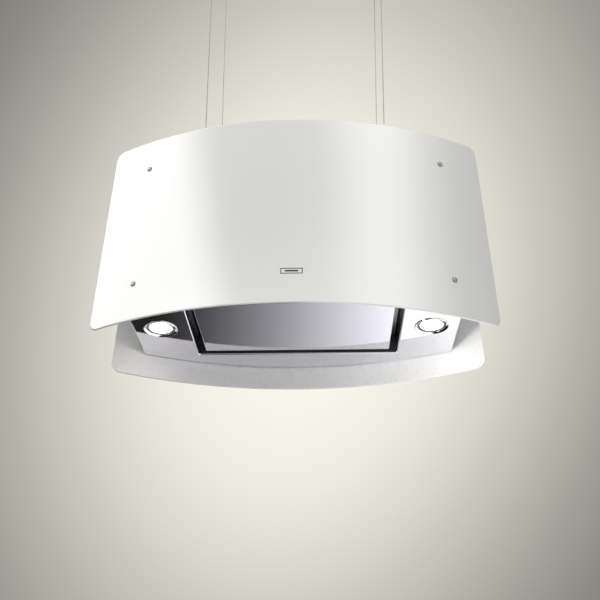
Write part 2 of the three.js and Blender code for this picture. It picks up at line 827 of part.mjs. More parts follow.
function controlBox() {
  const x0 = blowerWidth / 2 + controlGap;
  const x1 = x0 + controlLength;
  const half = controlDepth / 2;
  const top = deckZ - seam;
  const bottom = top - controlHeight;
  const body = box(x0, x1, -half, half, bottom, top);
  const lap = controlLidLap;
  const lid = box(x0 - lap, x1 + lap, -half - lap, half + lap, bottom - 2, bottom + 4);
  return piece("control_box", body.add(lid), blackPlastic);
}

// ---------------------------------------------------------------- outlet

function charcoalCassette() {
  const z0 = wellFloor + sheetThickness + seam;
  const z1 = z0 + cassetteThickness;
  const halfX = wellHalfX - cassetteGap;
  const halfY = wellHalfY - cassetteGap;
  const block = centredBox(halfX, halfY, z0, z1);
  // Two shallow pockets on each face leave a frame with a middle bar.
  const pocketY = halfY - cassetteFrame;
  const pockets = [-1, 1].flatMap((side) => {
    const inner = (side * cassetteBar) / 2;
    const outer = side * (halfX - cassetteFrame);
    return [
      [z0 - 1, z0 + cassettePocket],
      [z1 - cassettePocket, z1 + 1],
    ].map(([low, high]) =>
      box(Math.min(inner, outer), Math.max(inner, outer), -pocketY, pocketY, low, high),
    );
  });
  return piece("charcoal_filter", cut(block, pockets), charcoalFleece);
}

function outletGrille() {
  const halfX = wellHalfX + grilleOverlap;
  const halfY = wellHalfY + grilleOverlap;
  const z0 = coverTop + seam;
  const plate = centredBox(halfX, halfY, z0, z0 + grilleThickness);
  const count = Math.floor((2 * (wellHalfX - wellLip)) / grillePitch);
  const slots = Array.from({ length: count }, (_, i) => {
    const x = (i - (count - 1) / 2) * grillePitch;
    return [-1, 1].map((side) => {
      const inner = (side * grilleBar) / 2;
      const outer = side * (wellHalfY - wellLip);
      return box(
        x - grilleSlot / 2,
        x + grilleSlot / 2,
        Math.min(inner, outer),
        Math.max(inner, outer),
        z0 - 1,
        z0 + grilleThickness + 1,
      );
    });
  }).flat();
  return piece("outlet_grille", cut(plate, slots), satinSteel);
}

// ---------------------------------------------------------------- lamps

function lampBezel(name) {
  const under = -seam;
  const inner = lampLensRadius + lampBore;
  return piece(
    name,
    turned([
      [inner, under - 0.6],
      [lampRadius - 2.4, under - lampBezelProud],
      [lampRadius - 0.6, under - 1.1],
      [lampRadius, under],
      [lampNeckRadius, under],
      [lampNeckRadius, lampNeckHeight],
      [inner, lampNeckHeight],
    ]),
    chrome,
  );
}

function lampLens(name) {
  const r = lampLensRadius;
  return piece(
    name,
    turned([
      [0, -0.6],
      [r * 0.6, -0.3],
      [r - 0.8, 0.4],
      [r, 1.4],
      [r, 4],
      [r + 3.5, 4],
      [r + 3.5, 7],
      [0, 7],
    ]),
    lampWhite,
  );
}

// The heat sink behind a lamp: a can that is open below, with a finned back.
function lampHousing(name) {
  const z0 = lampNeckHeight + seam;
  const z1 = z0 + lampHousingHeight;
  const back = z1 - lampFinHeight;
  const wall = 4;
  const outer = lampNeckRadius + 1;
  const can = turned([
    [outer - wall, z0],
    [outer, z0],
    [outer, back],
    [0, back],
    [0, back - wall],
    [outer - wall, back - wall],
  ]);
  const half = lampFinThickness / 2;
  const fins = [-3, -2, -1, 0, 1, 2, 3].map((i) => {
    const x = i * lampFinPitch;
    const halfY = Math.sqrt(lampNeckRadius ** 2 - x ** 2);
    return box(x - half, x + half, -halfY, halfY, back - 1, z1);
  });
  return piece(name, unite([can, ...fins]), aluminium);
}

// ---------------------------------------------------------------- suspension

function cableGland() {
  const r = glandRadius;
  const gland = turned(
    [
      [4, -8],
      [r - 3, -8],
      [r - 3, seam],
      [r + 1, seam],
      [r + 1, 8],
      [r, 9],
      [r, glandHeight - 7],
      [r - 4, glandHeight],
      [4, glandHeight],
    ],
    smallSides,
  );
  const mesh = piece("cable_gland", gland, blackPlastic);
  mesh.position.set(trayHalf - glandInset, 0, coverTop);
  return mesh;
}

// A wire gripper: a stud through the cover, a barrel, and a bore for the release plunger.
function wireGripper(name) {
  const bore = plungerRadius + slideGap / 2;
  const top = seam + gripperLength;
  const boreEnd = top - plungerDepth - plungerTravel - 1;
  return piece(
    name,
    turned(
      [
        [0, -gripperStudLength],
        [gripperStudRadius, -gripperStudLength],
        [gripperStudRadius, seam],
        [gripperRadius + gripperFlange, seam],
        [gripperRadius + gripperFlange, 7],
        [gripperRadius, 8],
        [gripperRadius, top - 2],
        [gripperRadius - 1.5, top],
        [bore, top],
        [bore, boreEnd],
        [0, boreEnd],
      ],
      smallSides,
    ),
    satinSteel,
  );
}

function releasePlunger(name) {
  const bore = wireDiameter / 2 + wireBoreGap;
  return piece(
    name,
    turned(
      [
        [bore, -plungerDepth],
        [plungerRadius, -plungerDepth],
        [plungerRadius, plungerTravel + 0.5],
        [plungerRadius + 1.6, plungerTravel + 1],
        [plungerRadius + 1.6, plungerTravel + 3],
        [plungerRadius - 0.6, plungerProud],
        [bore, plungerProud],
      ],
      smallSides,
    ),
    chrome,
  );
}

function ceilingFitting(name) {
  const bore = wireDiameter / 2 + wireBoreGap;
  const r = ceilingFittingRadius;
  const h = ceilingFittingHeight;
  return piece(
    name,
    turned(
      [
        [0, h],
        [0, h - 6],
        [bore, h - 6],
        [bore, 0],
        [r - 7, 0],
        [r - 4, 3],
        [r - 4, h - 4],
        [r, h - 3],
        [r, h],
      ],
      smallSides,
    ),
    satinSteel,
  );
}

// A taut wire from inside a gripper's plunger to inside its ceiling fitting.
function suspensionWire(name, sx, sy) {
  const low = new THREE.Vector3(sx * wireX, sy * wireY, plungerTop - wireHold);
  const high = new THREE.Vector3(sx * (wireX + wireSplay), sy * wireY, ceilingFittingZ + wireHold);
  const section = Array.from({ length: 8 }, (_, i) => {
    const angle = (2 * Math.PI * i) / 8;
    return new THREE.Vector2(Math.cos(angle), Math.sin(angle)).multiplyScalar(wireDiameter / 2);
  });
  const geometry = new THREE.ExtrudeGeometry(new THREE.Shape(section), {
    steps: 8,
    extrudePath: new THREE.LineCurve3(low, high),
    bevelEnabled: false,
  });
  return piece(name, solid(geometry), wireSteel);
}

// ---------------------------------------------------------------- assembly

const hood = new THREE.Group();
hood.position.z = -ceilingHeight;

function add(mesh, x = 0, y = 0, z = 0) {
  mesh.position.set(x, y, z);
  hood.add(mesh);
}

// The front half and, turned round, the rear half of what repeats on both glass panels.
for (const face of ["front", "rear"]) {
  const half = new THREE.Group();
  half.rotation.z = face === "front" ? 0 : Math.PI;
  half.add(glassPanel(face + "_glass"), casingWall(face + "_wall"));
  for (const side of [-1, 1]) {
    const hand = side < 0 === (face === "front") ? "left" : "right";
    for (const stud of studs) half.add(glassStud(`glass_stud_${face}_${stud.level}_${hand}`, side, stud));
  }
  hood.add(half);
}

add(bottomTray());
add(topCover());
add(endPanel("end_panel_right"));
const leftEnd = endPanel("end_panel_left");
leftEnd.rotation.z = Math.PI;
hood.add(leftEnd);

add(suctionPanel());
add(panelBacking());
add(panelCatch());
add(filterFrame());
add(deckPlate());
add(controlBox());
add(charcoalCassette());
add(outletGrille());
hood.add(cableGland());

const fan = new THREE.Group();
fan.position.set(0, scrollY, scrollZ);
fan.add(impeller(), motor(), motorShaft());
hood.add(fan);

for (const [hand, side] of [
  ["left", -1],
  ["right", 1],
]) {
  add(hingeBracket("hinge_bracket_" + hand, side));
  add(hingePin("hinge_pin_" + hand, side));
  add(greaseFilter("grease_filter_" + hand, side));
  add(filterLatch("filter_latch_" + hand, side));
  add(blowerHalf("blower_housing_" + hand, side));
  add(lampBezel("lamp_bezel_" + hand), side * lampX, 0, trayHeight);
  add(lampLens("lamp_lens_" + hand), side * lampX, 0, trayHeight);
  add(lampHousing("lamp_housing_" + hand), side * lampX, 0, trayHeight);
  for (const [face, front] of [
    ["front", -1],
    ["rear", 1],
  ]) {
    const corner = face + "_" + hand;
    add(wireGripper("wire_gripper_" + corner), side * wireX, front * wireY, coverTop);
    add(releasePlunger("gripper_plunger_" + corner), side * wireX, front * wireY, gripperTop);
    add(suspensionWire("suspension_wire_" + corner, side, front));
    add(
      ceilingFitting("ceiling_fitting_" + corner),
      side * (wireX + wireSplay),
      front * wireY,
      ceilingFittingZ,
    );
  }
}

const rangeHood = new THREE.Group();
rangeHood.add(hood);

export default rangeHood;
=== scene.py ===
# %% [markdown]
# # An island range hood, built as a maker would
# The hood hangs over a cooker in the middle of a kitchen. Two bent glass panels, white on the back,
# hide a lens-shaped steel casing. Below, a polished steel tray carries two lamps and a suction panel,
# and air is drawn in through the gap round that panel. Four steel wires hold the hood under the ceiling.
# The measured model comes first as a fixed frame. This lesson puts finer surfaces and finishes on it.
# Everything is in metres, with the origin on the ceiling and Z up.

# %% Load the measured model
import math
import bmesh
import bpy
import numpy as np
from mathutils import Euler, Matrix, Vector
from mathutils.geometry import delaunay_2d_cdt


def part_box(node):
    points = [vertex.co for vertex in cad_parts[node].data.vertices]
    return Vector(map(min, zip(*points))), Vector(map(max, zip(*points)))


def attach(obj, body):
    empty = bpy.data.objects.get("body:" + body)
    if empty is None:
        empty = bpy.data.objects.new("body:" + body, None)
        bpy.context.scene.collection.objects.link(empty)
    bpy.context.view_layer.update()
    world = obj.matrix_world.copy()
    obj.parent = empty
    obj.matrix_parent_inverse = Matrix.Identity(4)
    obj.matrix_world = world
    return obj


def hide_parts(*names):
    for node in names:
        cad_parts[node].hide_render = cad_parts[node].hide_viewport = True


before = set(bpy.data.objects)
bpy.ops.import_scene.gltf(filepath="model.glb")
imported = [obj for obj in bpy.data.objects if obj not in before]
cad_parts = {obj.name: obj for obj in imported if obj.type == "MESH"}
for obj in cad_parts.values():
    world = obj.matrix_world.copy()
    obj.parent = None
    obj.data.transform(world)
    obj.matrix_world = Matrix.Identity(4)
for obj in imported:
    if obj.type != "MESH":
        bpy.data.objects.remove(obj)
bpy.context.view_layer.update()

# %% [markdown]
# ## The camera
# The hood is seen from below and in front, from about the height of the hob. A camera there looks up at
# 29 degrees. A narrow lens keeps the bent glass from looking swollen.

# %% Camera
CAMERA_PLACE = (0.06845, -1.68677, -2.21371)
CAMERA_PITCH = math.radians(29.25)  # above the horizon
CAMERA_YAW = math.radians(1.98)  # to the left of straight ahead
CAMERA_ROLL = math.radians(0.28)
CAMERA_LENS = 49.06  # millimetres, on a sensor 36 mm wide

camera_data = bpy.data.cameras.new("camera")
camera_data.lens = CAMERA_LENS
camera_data.sensor_width = 36
camera = bpy.data.objects.new("camera", camera_data)
aim = Euler((math.pi / 2 + CAMERA_PITCH, 0, CAMERA_YAW), "XYZ").to_matrix()
camera.matrix_world = (aim @ Euler((0, 0, CAMERA_ROLL)).to_matrix()).to_4x4()
camera.location = CAMERA_PLACE
bpy.context.collection.objects.link(camera)
bpy.context.scene.camera = camera
bpy.context.scene.view_settings.view_transform = "Standard"
print("camera at", CAMERA_PLACE)

# %% [markdown]
# ## Sizes
# Most places are read from the measured model, so a piece made here always meets its neighbours.
# Sizes that a box can't give, such as the radius of a bend, are written once here.

# %% Driving sizes
GLASS_HEIGHT = 0.486
GLASS_RADIUS = 0.871  # bend of the outer face
GLASS_THICKNESS = 0.006
GLASS_CORNER = 0.020
GLASS_ARRIS = 0.0009  # ground edge of the glass
SIDE_LEAN = 0.0115  # each side edge leans in over the height
SHEET = 0.0015  # steel of the tray
SHEET_INSET = 0.008  # tray's rim inside the outer face of the glass
RIM_HEIGHT = 0.014
BEND = 0.0028  # outer radius of a folded steel edge
HOLD = 0.0003  # narrow strip beside a fold that keeps the flat's shading flat
WIRE_DIAMETER = 0.002
ROUND = 48  # sides of a turned piece

front_glass_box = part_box("front_glass")
rear_glass_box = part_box("rear_glass")
tray_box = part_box("bottom_tray")
panel_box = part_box("suction_panel")
HOOD_DEPTH = rear_glass_box[1].y - front_glass_box[0].y
HALF_CHORD = front_glass_box[1].x
DATUM = front_glass_box[0].z  # lower edge of the glass
TRAY_UNDER = tray_box[0].z
TRAY_HALF = tray_box[1].x
print("hood", round(2 * HALF_CHORD, 4), "wide", round(HOOD_DEPTH, 4), "deep, datum", round(DATUM, 4))

# %% [markdown]
# ## Turning arrays into pieces
# Each new piece is worked out with numpy as a grid of points, or as a flat outline that is filled.
# `Shell` gathers such surfaces and welds points that coincide, so the mesh is closed. It turns every
# face outwards and marks creases sharp, which keeps flats flat and bends smooth.


# %% Grids and shells
def grid_faces(rows, columns, around=False):
    """Quads of a grid of points, row by row; around joins the last column to the first."""
    row = np.arange(rows - 1)[:, None]
    column = np.arange(columns if around else columns - 1)[None, :]
    after = (column + 1) % columns
    this, following = row * columns, (row + 1) * columns
    corners = (this + column, this + after, following + after, following + column)
    return np.stack(np.broadcast_arrays(*corners), axis=-1).reshape(-1, 4)


def filled(outlines, z):
    """A flat sheet at height z between closed outlines: the first is the edge, the others are holes."""
    points = np.concatenate(outlines)
    start = np.cumsum([0] + [len(o) for o in outlines])
    loops = [list(range(a, b)) for a, b in zip(start, start[1:])]
    made = delaunay_2d_cdt([Vector(p) for p in points[:, :2]], [], loops, 2, 1e-7)
    flat = np.array([tuple(p) for p in made[0]])
    return np.column_stack([flat, np.full(len(flat), z)]), np.array(made[2])


class Shell:
    """Surfaces that become one mesh. Each is added with the number of its finish."""

    def __init__(self):
        self.points, self.faces, self.finishes, self.count = [], [], [], 0

    def add(self, points, faces, finish=0):
        """Adds points and the faces between them, counted from the first of these points."""
        self.points.append(points.reshape(-1, 3))
        self.faces += (faces + self.count).tolist()
        self.finishes += [finish] * len(faces)
        self.count += points.size // 3
        return self

    def grid(self, points, around=False, finish=0):
        """Adds points[row, column] as quads."""
        return self.add(points, grid_faces(points.shape[0], points.shape[1], around), finish)

    def piece(self, name, materials, slot, body="root", replaces=(), crease=28):
        """Welds the surfaces, turns faces outwards and gives the finished piece."""
        mesh = bpy.data.meshes.new(name)
        mesh.from_pydata(np.concatenate(self.points), [], self.faces)
        mesh.polygons.foreach_set("material_index", self.finishes)
        work = bmesh.new()
        work.from_mesh(mesh)
        bmesh.ops.remove_doubles(work, verts=work.verts, dist=2e-6)
        bmesh.ops.dissolve_degenerate(work, edges=work.edges, dist=1e-7)
        bmesh.ops.recalc_face_normals(work, faces=work.faces)
        open_edges = sum(1 for e in work.edges if not e.is_manifold)
        work.to_mesh(mesh)
        work.free()
        return settle(mesh, name, materials, body, replaces, crease, open_edges)


def settle(mesh, name, materials, body, replaces, crease, open_edges=0):
    """Shades a mesh, gives it its finishes, and hangs it on its body."""
    mesh.shade_smooth()
    mesh.set_sharp_from_angle(angle=math.radians(crease))
    made = bpy.data.objects.new(name, mesh)
    bpy.context.collection.objects.link(made)
    for material in materials if isinstance(materials, (list, tuple)) else [materials]:
        mesh.materials.append(material)
    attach(made, body)
    if replaces:
        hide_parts(*replaces)
    print(f"{name}: {len(mesh.polygons)} faces, {open_edges} open edges")
    return made


# %% [markdown]
# ## Procedural finishes
# A finish is a Principled shader fed by noise on object coordinates. Steel gets long streaks along its
# grain, glass gets a faint waviness and dust, plastic gets a fine leather grain. One helper makes the
# noise, one mixes two colours by it, one turns it into bump and one into roughness.


# %% Node helpers
class Finish:
    """A material under construction: helpers add nodes to one Principled shader."""

    def __init__(self, name, color, roughness, metallic=0.0):
        self.material = bpy.data.materials.new(name)
        self.material.use_nodes = True
        self.nodes = self.material.node_tree.nodes
        self.links = self.material.node_tree.links
        self.shader = self.nodes["Principled BSDF"]
        self.color, self.roughness = color, roughness
        self.set("Base Color", (*color, 1)).set("Roughness", roughness).set("Metallic", metallic)
        self.place = self.nodes.new("ShaderNodeTexCoord").outputs["Object"]
        self.normal = None

    def set(self, socket, value):
        """Sets a value that is the same all over the surface, straight on the shader."""
        self.shader.inputs[socket].default_value = value
        return self

    def noise(self, size, stretch=(1, 1, 1), detail=3.0, distortion=0.0):
        """Noise whose spots are about size metres across, stretched along each axis."""
        mapping = self.nodes.new("ShaderNodeMapping")
        mapping.inputs["Scale"].default_value = [1 / (size * s) for s in stretch]
        texture = self.nodes.new("ShaderNodeTexNoise")
        texture.inputs["Scale"].default_value = 1
        texture.inputs["Detail"].default_value = detail
        texture.inputs["Distortion"].default_value = distortion
        self.links.new(self.place, mapping.inputs["Vector"])
        self.links.new(mapping.outputs["Vector"], texture.inputs["Vector"])
        return texture.outputs["Fac"]

    def ranged(self, value, low, high, start=0.3, end=0.7):
        """Maps a noise value from start..end to low..high."""
        node = self.nodes.new("ShaderNodeMapRange")
        for socket, number in zip(("From Min", "From Max", "To Min", "To Max"), (start, end, low, high)):
            node.inputs[socket].default_value = number
        self.links.new(value, node.inputs["Value"])
        return node.outputs["Result"]

    def tint(self, value, other, share=1.0):
        """Mixes the finish's colour with another by a noise value."""
        mix = self.nodes.new("ShaderNodeMix")
        mix.data_type = "RGBA"
        colors = [s for s in mix.inputs if s.type == "RGBA"]
        colors[0].default_value = (*self.color, 1)
        colors[1].default_value = (*other, 1)
        self.links.new(self.ranged(value, 0, share), mix.inputs[0])
        result = [s for s in mix.outputs if s.type == "RGBA"][0]
        self.links.new(result, self.shader.inputs["Base Color"])
        return self

    def rough(self, value, spread):
        """Varies the roughness by spread, up and down."""
        low, high = max(0.01, self.roughness - spread), self.roughness + spread
        self.links.new(self.ranged(value, low, high), self.shader.inputs["Roughness"])
        return self

    def bump(self, value, height, strength=1.0):
        """Raises the surface by a noise value, height in metres; calls add up."""
        node = self.nodes.new("ShaderNodeBump")
        node.inputs["Strength"].default_value = strength
        node.inputs["Distance"].default_value = height
        self.links.new(value, node.inputs["Height"])
        if self.normal:
            self.links.new(self.normal, node.inputs["Normal"])
        self.normal = node.outputs["Normal"]
        self.links.new(self.normal, self.shader.inputs["Normal"])
        return self


# %% [markdown]
# ### Glass
# The panels are clear glass with white enamel fired on the back. Light meets a glossy skin first and
# the white below it second, so the finish is a white base under a smooth coat. The ground rim shows the
# glass itself, a little greener, and its colour is painted brighter as a painted highlight for strong
# light from below. The enamelled inner side is white with an eggshell gloss.

# %% Glass finishes
white_glass = Finish("white_glass", (0.80, 0.805, 0.80), 0.42)
white_glass.set("Coat Weight", 1.0).set("Coat Roughness", 0.07).set("Coat IOR", 1.7).set("IOR", 1.3)
white_glass.tint(white_glass.noise(0.35), (0.76, 0.768, 0.765), 0.5)
white_glass.rough(white_glass.noise(0.02, detail=5), 0.06)
white_glass.bump(white_glass.noise(0.22, (1.6, 1.6, 0.35), 1.0), 0.0002, 0.25)
# The rim's colour is painted brighter than ground glass: a painted highlight for strong light from below.
green_rim_painted_bright = Finish("green_rim_painted_bright", (0.88, 0.91, 0.90), 0.18)
green_rim_painted_bright.set("Coat Weight", 0.6).set("Coat Roughness", 0.08)
green_rim_painted_bright.tint(green_rim_painted_bright.noise(0.03, (1, 1, 4)), (0.93, 0.95, 0.945))
green_rim_painted_bright.bump(green_rim_painted_bright.noise(0.002, (1, 1, 6)), 0.00003, 0.4)
enamel = Finish("enamel", (0.80, 0.80, 0.795), 0.30)
enamel.set("Coat Weight", 0.3).set("Coat Roughness", 0.2)
enamel.tint(enamel.noise(0.25), (0.765, 0.77, 0.765), 0.6)
enamel.rough(enamel.noise(0.012, detail=6), 0.08)
enamel.bump(enamel.noise(0.0012, detail=4), 0.00004, 0.3)
print("glass finishes ready")

# %% [markdown]
# ### Steel and other metals
# Polished sheet mirrors the room but keeps a faint grain from rolling, so its streaks run along X.
# Satin sheet has the same grain, coarser. Zinc plate is mottled, castings and turned parts are smooth.
# The flange round the suction opening is made near black, so the gap reads as a black line.

# %% Metal finishes
polished_steel = Finish("polished_steel", (0.86, 0.855, 0.885), 0.045, 1.0)
polished_steel.tint(polished_steel.noise(0.16), (0.80, 0.80, 0.83), 0.5)
polished_steel.rough(polished_steel.noise(0.0012, (60, 1, 1), 4), 0.02)
polished_steel.bump(polished_steel.noise(0.0009, (90, 1, 1), 4), 0.000004, 0.25)
satin_steel = Finish("satin_steel", (0.56, 0.56, 0.57), 0.30, 1.0)
satin_steel.tint(satin_steel.noise(0.12), (0.48, 0.48, 0.50), 0.7)
satin_steel.rough(satin_steel.noise(0.0015, (50, 1, 1), 5), 0.10)
satin_steel.bump(satin_steel.noise(0.0010, (70, 1, 1), 5), 0.00002, 0.35)
zinc_steel = Finish("zinc_steel", (0.50, 0.52, 0.54), 0.38, 1.0)
zinc_steel.tint(zinc_steel.noise(0.018, detail=2, distortion=1.2), (0.36, 0.38, 0.41))
zinc_steel.rough(zinc_steel.noise(0.009, detail=4), 0.12)
zinc_steel.bump(zinc_steel.noise(0.004, detail=5), 0.00003, 0.3)
# Near black colour on the flange, so the gap round the suction panel reads as a black line.
near_black_flange = Finish("near_black_flange", (0.030, 0.030, 0.033), 0.28)
near_black_flange.tint(near_black_flange.noise(0.03), (0.045, 0.045, 0.048), 0.7)
near_black_flange.rough(near_black_flange.noise(0.004, detail=5), 0.08)
near_black_flange.bump(near_black_flange.noise(0.0015, detail=3), 0.00003, 0.3)
chrome = Finish("chrome", (0.86, 0.865, 0.88), 0.06, 1.0)
chrome.tint(chrome.noise(0.02), (0.78, 0.785, 0.80), 0.6)
chrome.rough(chrome.noise(0.003, detail=5), 0.03)
satin_chrome = Finish("satin_chrome", (0.40, 0.40, 0.41), 0.50, 1.0)
satin_chrome.tint(satin_chrome.noise(0.006), (0.34, 0.34, 0.35), 0.6)
satin_chrome.rough(satin_chrome.noise(0.001, detail=5), 0.06)
aluminium = Finish("aluminium", (0.66, 0.67, 0.68), 0.34, 1.0)
aluminium.tint(aluminium.noise(0.04), (0.56, 0.57, 0.59), 0.7)
aluminium.rough(aluminium.noise(0.002, (1, 40, 1), 5), 0.10)
aluminium.bump(aluminium.noise(0.0012, (1, 50, 1), 4), 0.00003, 0.4)
wire_steel = Finish("wire_steel", (0.46, 0.45, 0.43), 0.52, 1.0)
wire_steel.tint(wire_steel.noise(0.008, (1, 1, 3)), (0.38, 0.375, 0.36), 0.7)
wire_steel.rough(wire_steel.noise(0.002), 0.06)
print("metal finishes ready")

# %% [markdown]
# ### Plastic, rubber, fleece and light
# Moulded plastic has a fine grain, rubber is matt, and charcoal fleece is fibrous. The lamp's diffuser
# glows evenly all over.

# %% Other finishes
black_plastic = Finish("black_plastic", (0.018, 0.018, 0.020), 0.46)
black_plastic.tint(black_plastic.noise(0.02), (0.030, 0.030, 0.032), 0.6)
black_plastic.rough(black_plastic.noise(0.004, detail=4), 0.08)
black_plastic.bump(black_plastic.noise(0.0007, detail=5), 0.00006, 0.5)
grey_plastic = Finish("grey_plastic", (0.075, 0.078, 0.084), 0.5)
grey_plastic.tint(grey_plastic.noise(0.05), (0.10, 0.103, 0.108), 0.6)
grey_plastic.rough(grey_plastic.noise(0.006, detail=4), 0.08)
grey_plastic.bump(grey_plastic.noise(0.0008, detail=5), 0.00006, 0.5)
rubber = Finish("rubber", (0.05, 0.05, 0.053), 0.6)
rubber.tint(rubber.noise(0.006), (0.08, 0.08, 0.085), 0.6)
rubber.bump(rubber.noise(0.0006), 0.00003, 0.4)
fleece = Finish("charcoal_fleece", (0.020, 0.020, 0.021), 0.95)
fleece.tint(fleece.noise(0.004, detail=6), (0.055, 0.055, 0.057))
fleece.bump(fleece.noise(0.0025, detail=8, distortion=0.6), 0.0006, 0.9)
lamp_opal = Finish("lamp_opal", (0.9, 0.89, 0.86), 0.35)
lamp_opal.set("Emission Color", (1.0, 0.96, 0.90, 1)).set("Emission Strength", 4.0)
lamp_opal.tint(lamp_opal.noise(0.01), (0.84, 0.83, 0.80), 0.5)
lamp_opal.bump(lamp_opal.noise(0.0015, detail=2), 0.00005, 0.3)
print("other finishes ready")

# %% [markdown]
# ## The four wires
# Each wire is a steel rope of one core and six strands, 2 mm thick. It is clamped in a gripper on the
# hood's cover and ends in a fitting on the ceiling, a little further out, and the hood's weight keeps it
# straight. The strands are made as a tube whose section is a six-lobed circle, turning as it climbs.


# %% A stranded wire
LAY_LENGTH = 0.016  # one turn of the strands
STRANDS = 6
WIRE_SPLAY = 0.024  # how much further out it ends on the ceiling
WIRE_HOLD = 0.010  # length held inside the gripper's plunger and inside the ceiling fitting
STRAND_RELIEF = 0.07  # depth of the valleys, as a share of the radius
STRAND_MEAN = 0.7  # keeps the mean radius near the wire's own
RINGS_A_TURN = 6
FACES = (("front", -1), ("rear", 1))
HANDS = (("left", -1), ("right", 1))
CORNERS = [(face, hand, sx) for face, _ in FACES for hand, sx in HANDS]


def corner_place(face, hand):
    """Where the wire leaves the hood: the middle of the plunger in plan, and its top."""
    low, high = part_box(f"gripper_plunger_{face}_{hand}")
    return (low.x + high.x) / 2, (low.y + high.y) / 2, high.z


def wire(face, hand, sx):
    """Radius at angle a and arc length s: r (1 + relief (|sin 3(a - 2 pi s / lay)| - mean))."""
    x, y, top = corner_place(face, hand)
    low = np.array([x, y, top - WIRE_HOLD])
    fitting_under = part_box(f"ceiling_fitting_{face}_{hand}")[0].z
    high = np.array([x + sx * WIRE_SPLAY, y, fitting_under + WIRE_HOLD])
    length = np.linalg.norm(high - low)
    along = (high - low) / length
    side = np.array([0.0, 1.0, 0.0])
    other = np.cross(along, side)
    s = np.linspace(0, length, int(length / LAY_LENGTH * RINGS_A_TURN) + 1)[:, None]
    a = np.linspace(0, 2 * np.pi, 4 * STRANDS, endpoint=False)[None, :]
    lobes = np.abs(np.sin(STRANDS / 2 * (a - 2 * np.pi * s / LAY_LENGTH)))
    radius = WIRE_DIAMETER / 2 * (1 + STRAND_RELIEF * (lobes - STRAND_MEAN))
    ring = np.cos(a)[..., None] * side + np.sin(a)[..., None] * other
    skin = low + s[..., None] * along + radius[..., None] * ring
    shell = Shell().grid(skin, around=True)
    for end in (0, -1):
        centre = low + s[end] * along
        shell.grid(np.stack([skin[end], np.broadcast_to(centre, skin[end].shape)]), around=True)
    made = shell.piece(
        f"wire_{face}_{hand}", wire_steel.material, "wire_steel",
        replaces=[f"suspension_wire_{face}_{hand}"], crease=70)
    return made


# %% [markdown]
# ## Turned pieces
# Ceiling fittings, grippers, plungers, glass studs and lamp rings all come off a lathe. Their surface is
# a profile of radius and height carried round an axis: (r cos a, r sin a, z). A spanner flat or a knurl
# changes the radius with the angle, so the same surface gets a factor for each angle.


# %% Lathe work
def arc(centre, radius, start, end, steps=5):
    """Points (r, z) on a circle about centre, from one angle to another in degrees."""
    angle = np.radians(np.linspace(start, end, steps + 1))
    return [(centre[0] + radius * c, centre[1] + radius * s) for c, s in zip(np.cos(angle), np.sin(angle))]


def turn(profile, sides=ROUND, factor=None):
    """Rows of points round the Z axis, one row for each point of the profile."""
    r, z = np.array(profile).T
    angle = np.linspace(0, 2 * np.pi, sides, endpoint=False)
    radius = r[:, None] * (np.ones((len(r), sides)) if factor is None else factor(angle, z))
    height = np.broadcast_to(z[:, None], radius.shape)
    return np.stack([radius * np.cos(angle), radius * np.sin(angle), height], axis=-1)


def hexagon(low, high, inside):
    """A factor that makes six flats between two heights: cos 30 / cos(distance to the nearest flat)."""
    def factor(angle, z):
        flats = inside / np.cos((angle + np.pi / 6) % (np.pi / 3) - np.pi / 6)
        return np.where(((z >= low) & (z <= high))[:, None], flats[None, :], 1.0)
    return factor


def knurled(low, high, ridges, depth):
    """A factor that makes upright ridges between two heights: 1 - depth |sin(ridges a / 2)|."""
    def factor(angle, z):
        groove = 1 - depth * np.abs(np.sin(ridges * angle / 2))
        return np.where(((z >= low) & (z <= high))[:, None], groove[None, :], 1.0)
    return factor


def centre_of(node):
    """Middle of a measured piece in plan, and its lowest height."""
    low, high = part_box(node)
    return np.array([(low.x + high.x) / 2, (low.y + high.y) / 2, low.z])


# %% Ceiling fittings, grippers and plungers
FITTING_HEIGHT = 0.020
FITTING_RADIUS = 0.013
GRIPPER_RADIUS = 0.007
GRIPPER_LENGTH = 0.0503
PLUNGER_RADIUS = 0.004
STUD_DEPTH = 0.016  # of the gripper's stud under the cover
WIRE_BORE = 0.0013


def ceiling_fitting(face, hand):
    """A cup with a rounded rim on the ceiling, and a bore for the wire below."""
    r, h = FITTING_RADIUS, FITTING_HEIGHT
    profile = [(0, h), (r, h), *arc((r - 0.001, h - 0.002), 0.001, 0, -90), (r - 0.0035, h - 0.0032)]
    profile += [(r - 0.004, 0.005), *arc((r - 0.0065, 0.0025), 0.0025, 0, -90)]
    profile += [(WIRE_BORE, 0), (WIRE_BORE, 0.014), (0, 0.014)]
    skin = turn(profile) + centre_of(f"ceiling_fitting_{face}_{hand}")
    return Shell().grid(skin, around=True).piece(
        f"fitting_{face}_{hand}", satin_steel.material, "satin_steel",
        replaces=[f"ceiling_fitting_{face}_{hand}"])


def gripper(face, hand):
    """A stud, a hexagon flange and a waisted barrel whose mouth holds the release plunger."""
    r, top, bore = GRIPPER_RADIUS, GRIPPER_LENGTH, PLUNGER_RADIUS + 0.00025
    floor = top - 0.018
    profile = [(0, -STUD_DEPTH), (0.0026, -STUD_DEPTH), (0.003, -STUD_DEPTH + 0.0004), (0.003, 0.0003)]
    profile += [(0.0096, 0.0003), (0.0102, 0.0009), (0.0102, 0.0062), (0.0096, 0.0068)]
    profile += [(r, 0.0072), (r, 0.012)]
    profile += [(r - 0.0008, 0.0126), (r - 0.0008, 0.0144), (r, 0.015), (r, top - 0.003)]
    profile += [*arc((r - 0.0015, top - 0.0015), 0.0015, 0, 90), (bore, top), (bore, floor), (0, floor)]
    skin = turn(profile, factor=hexagon(0.0003, 0.0068, math.cos(math.pi / 6)))
    skin = skin + centre_of(f"wire_gripper_{face}_{hand}") + np.array([0, 0, STUD_DEPTH])
    return Shell().grid(skin, around=True).piece(
        f"gripper_{face}_{hand}", satin_steel.material, "satin_steel",
        replaces=[f"wire_gripper_{face}_{hand}"])


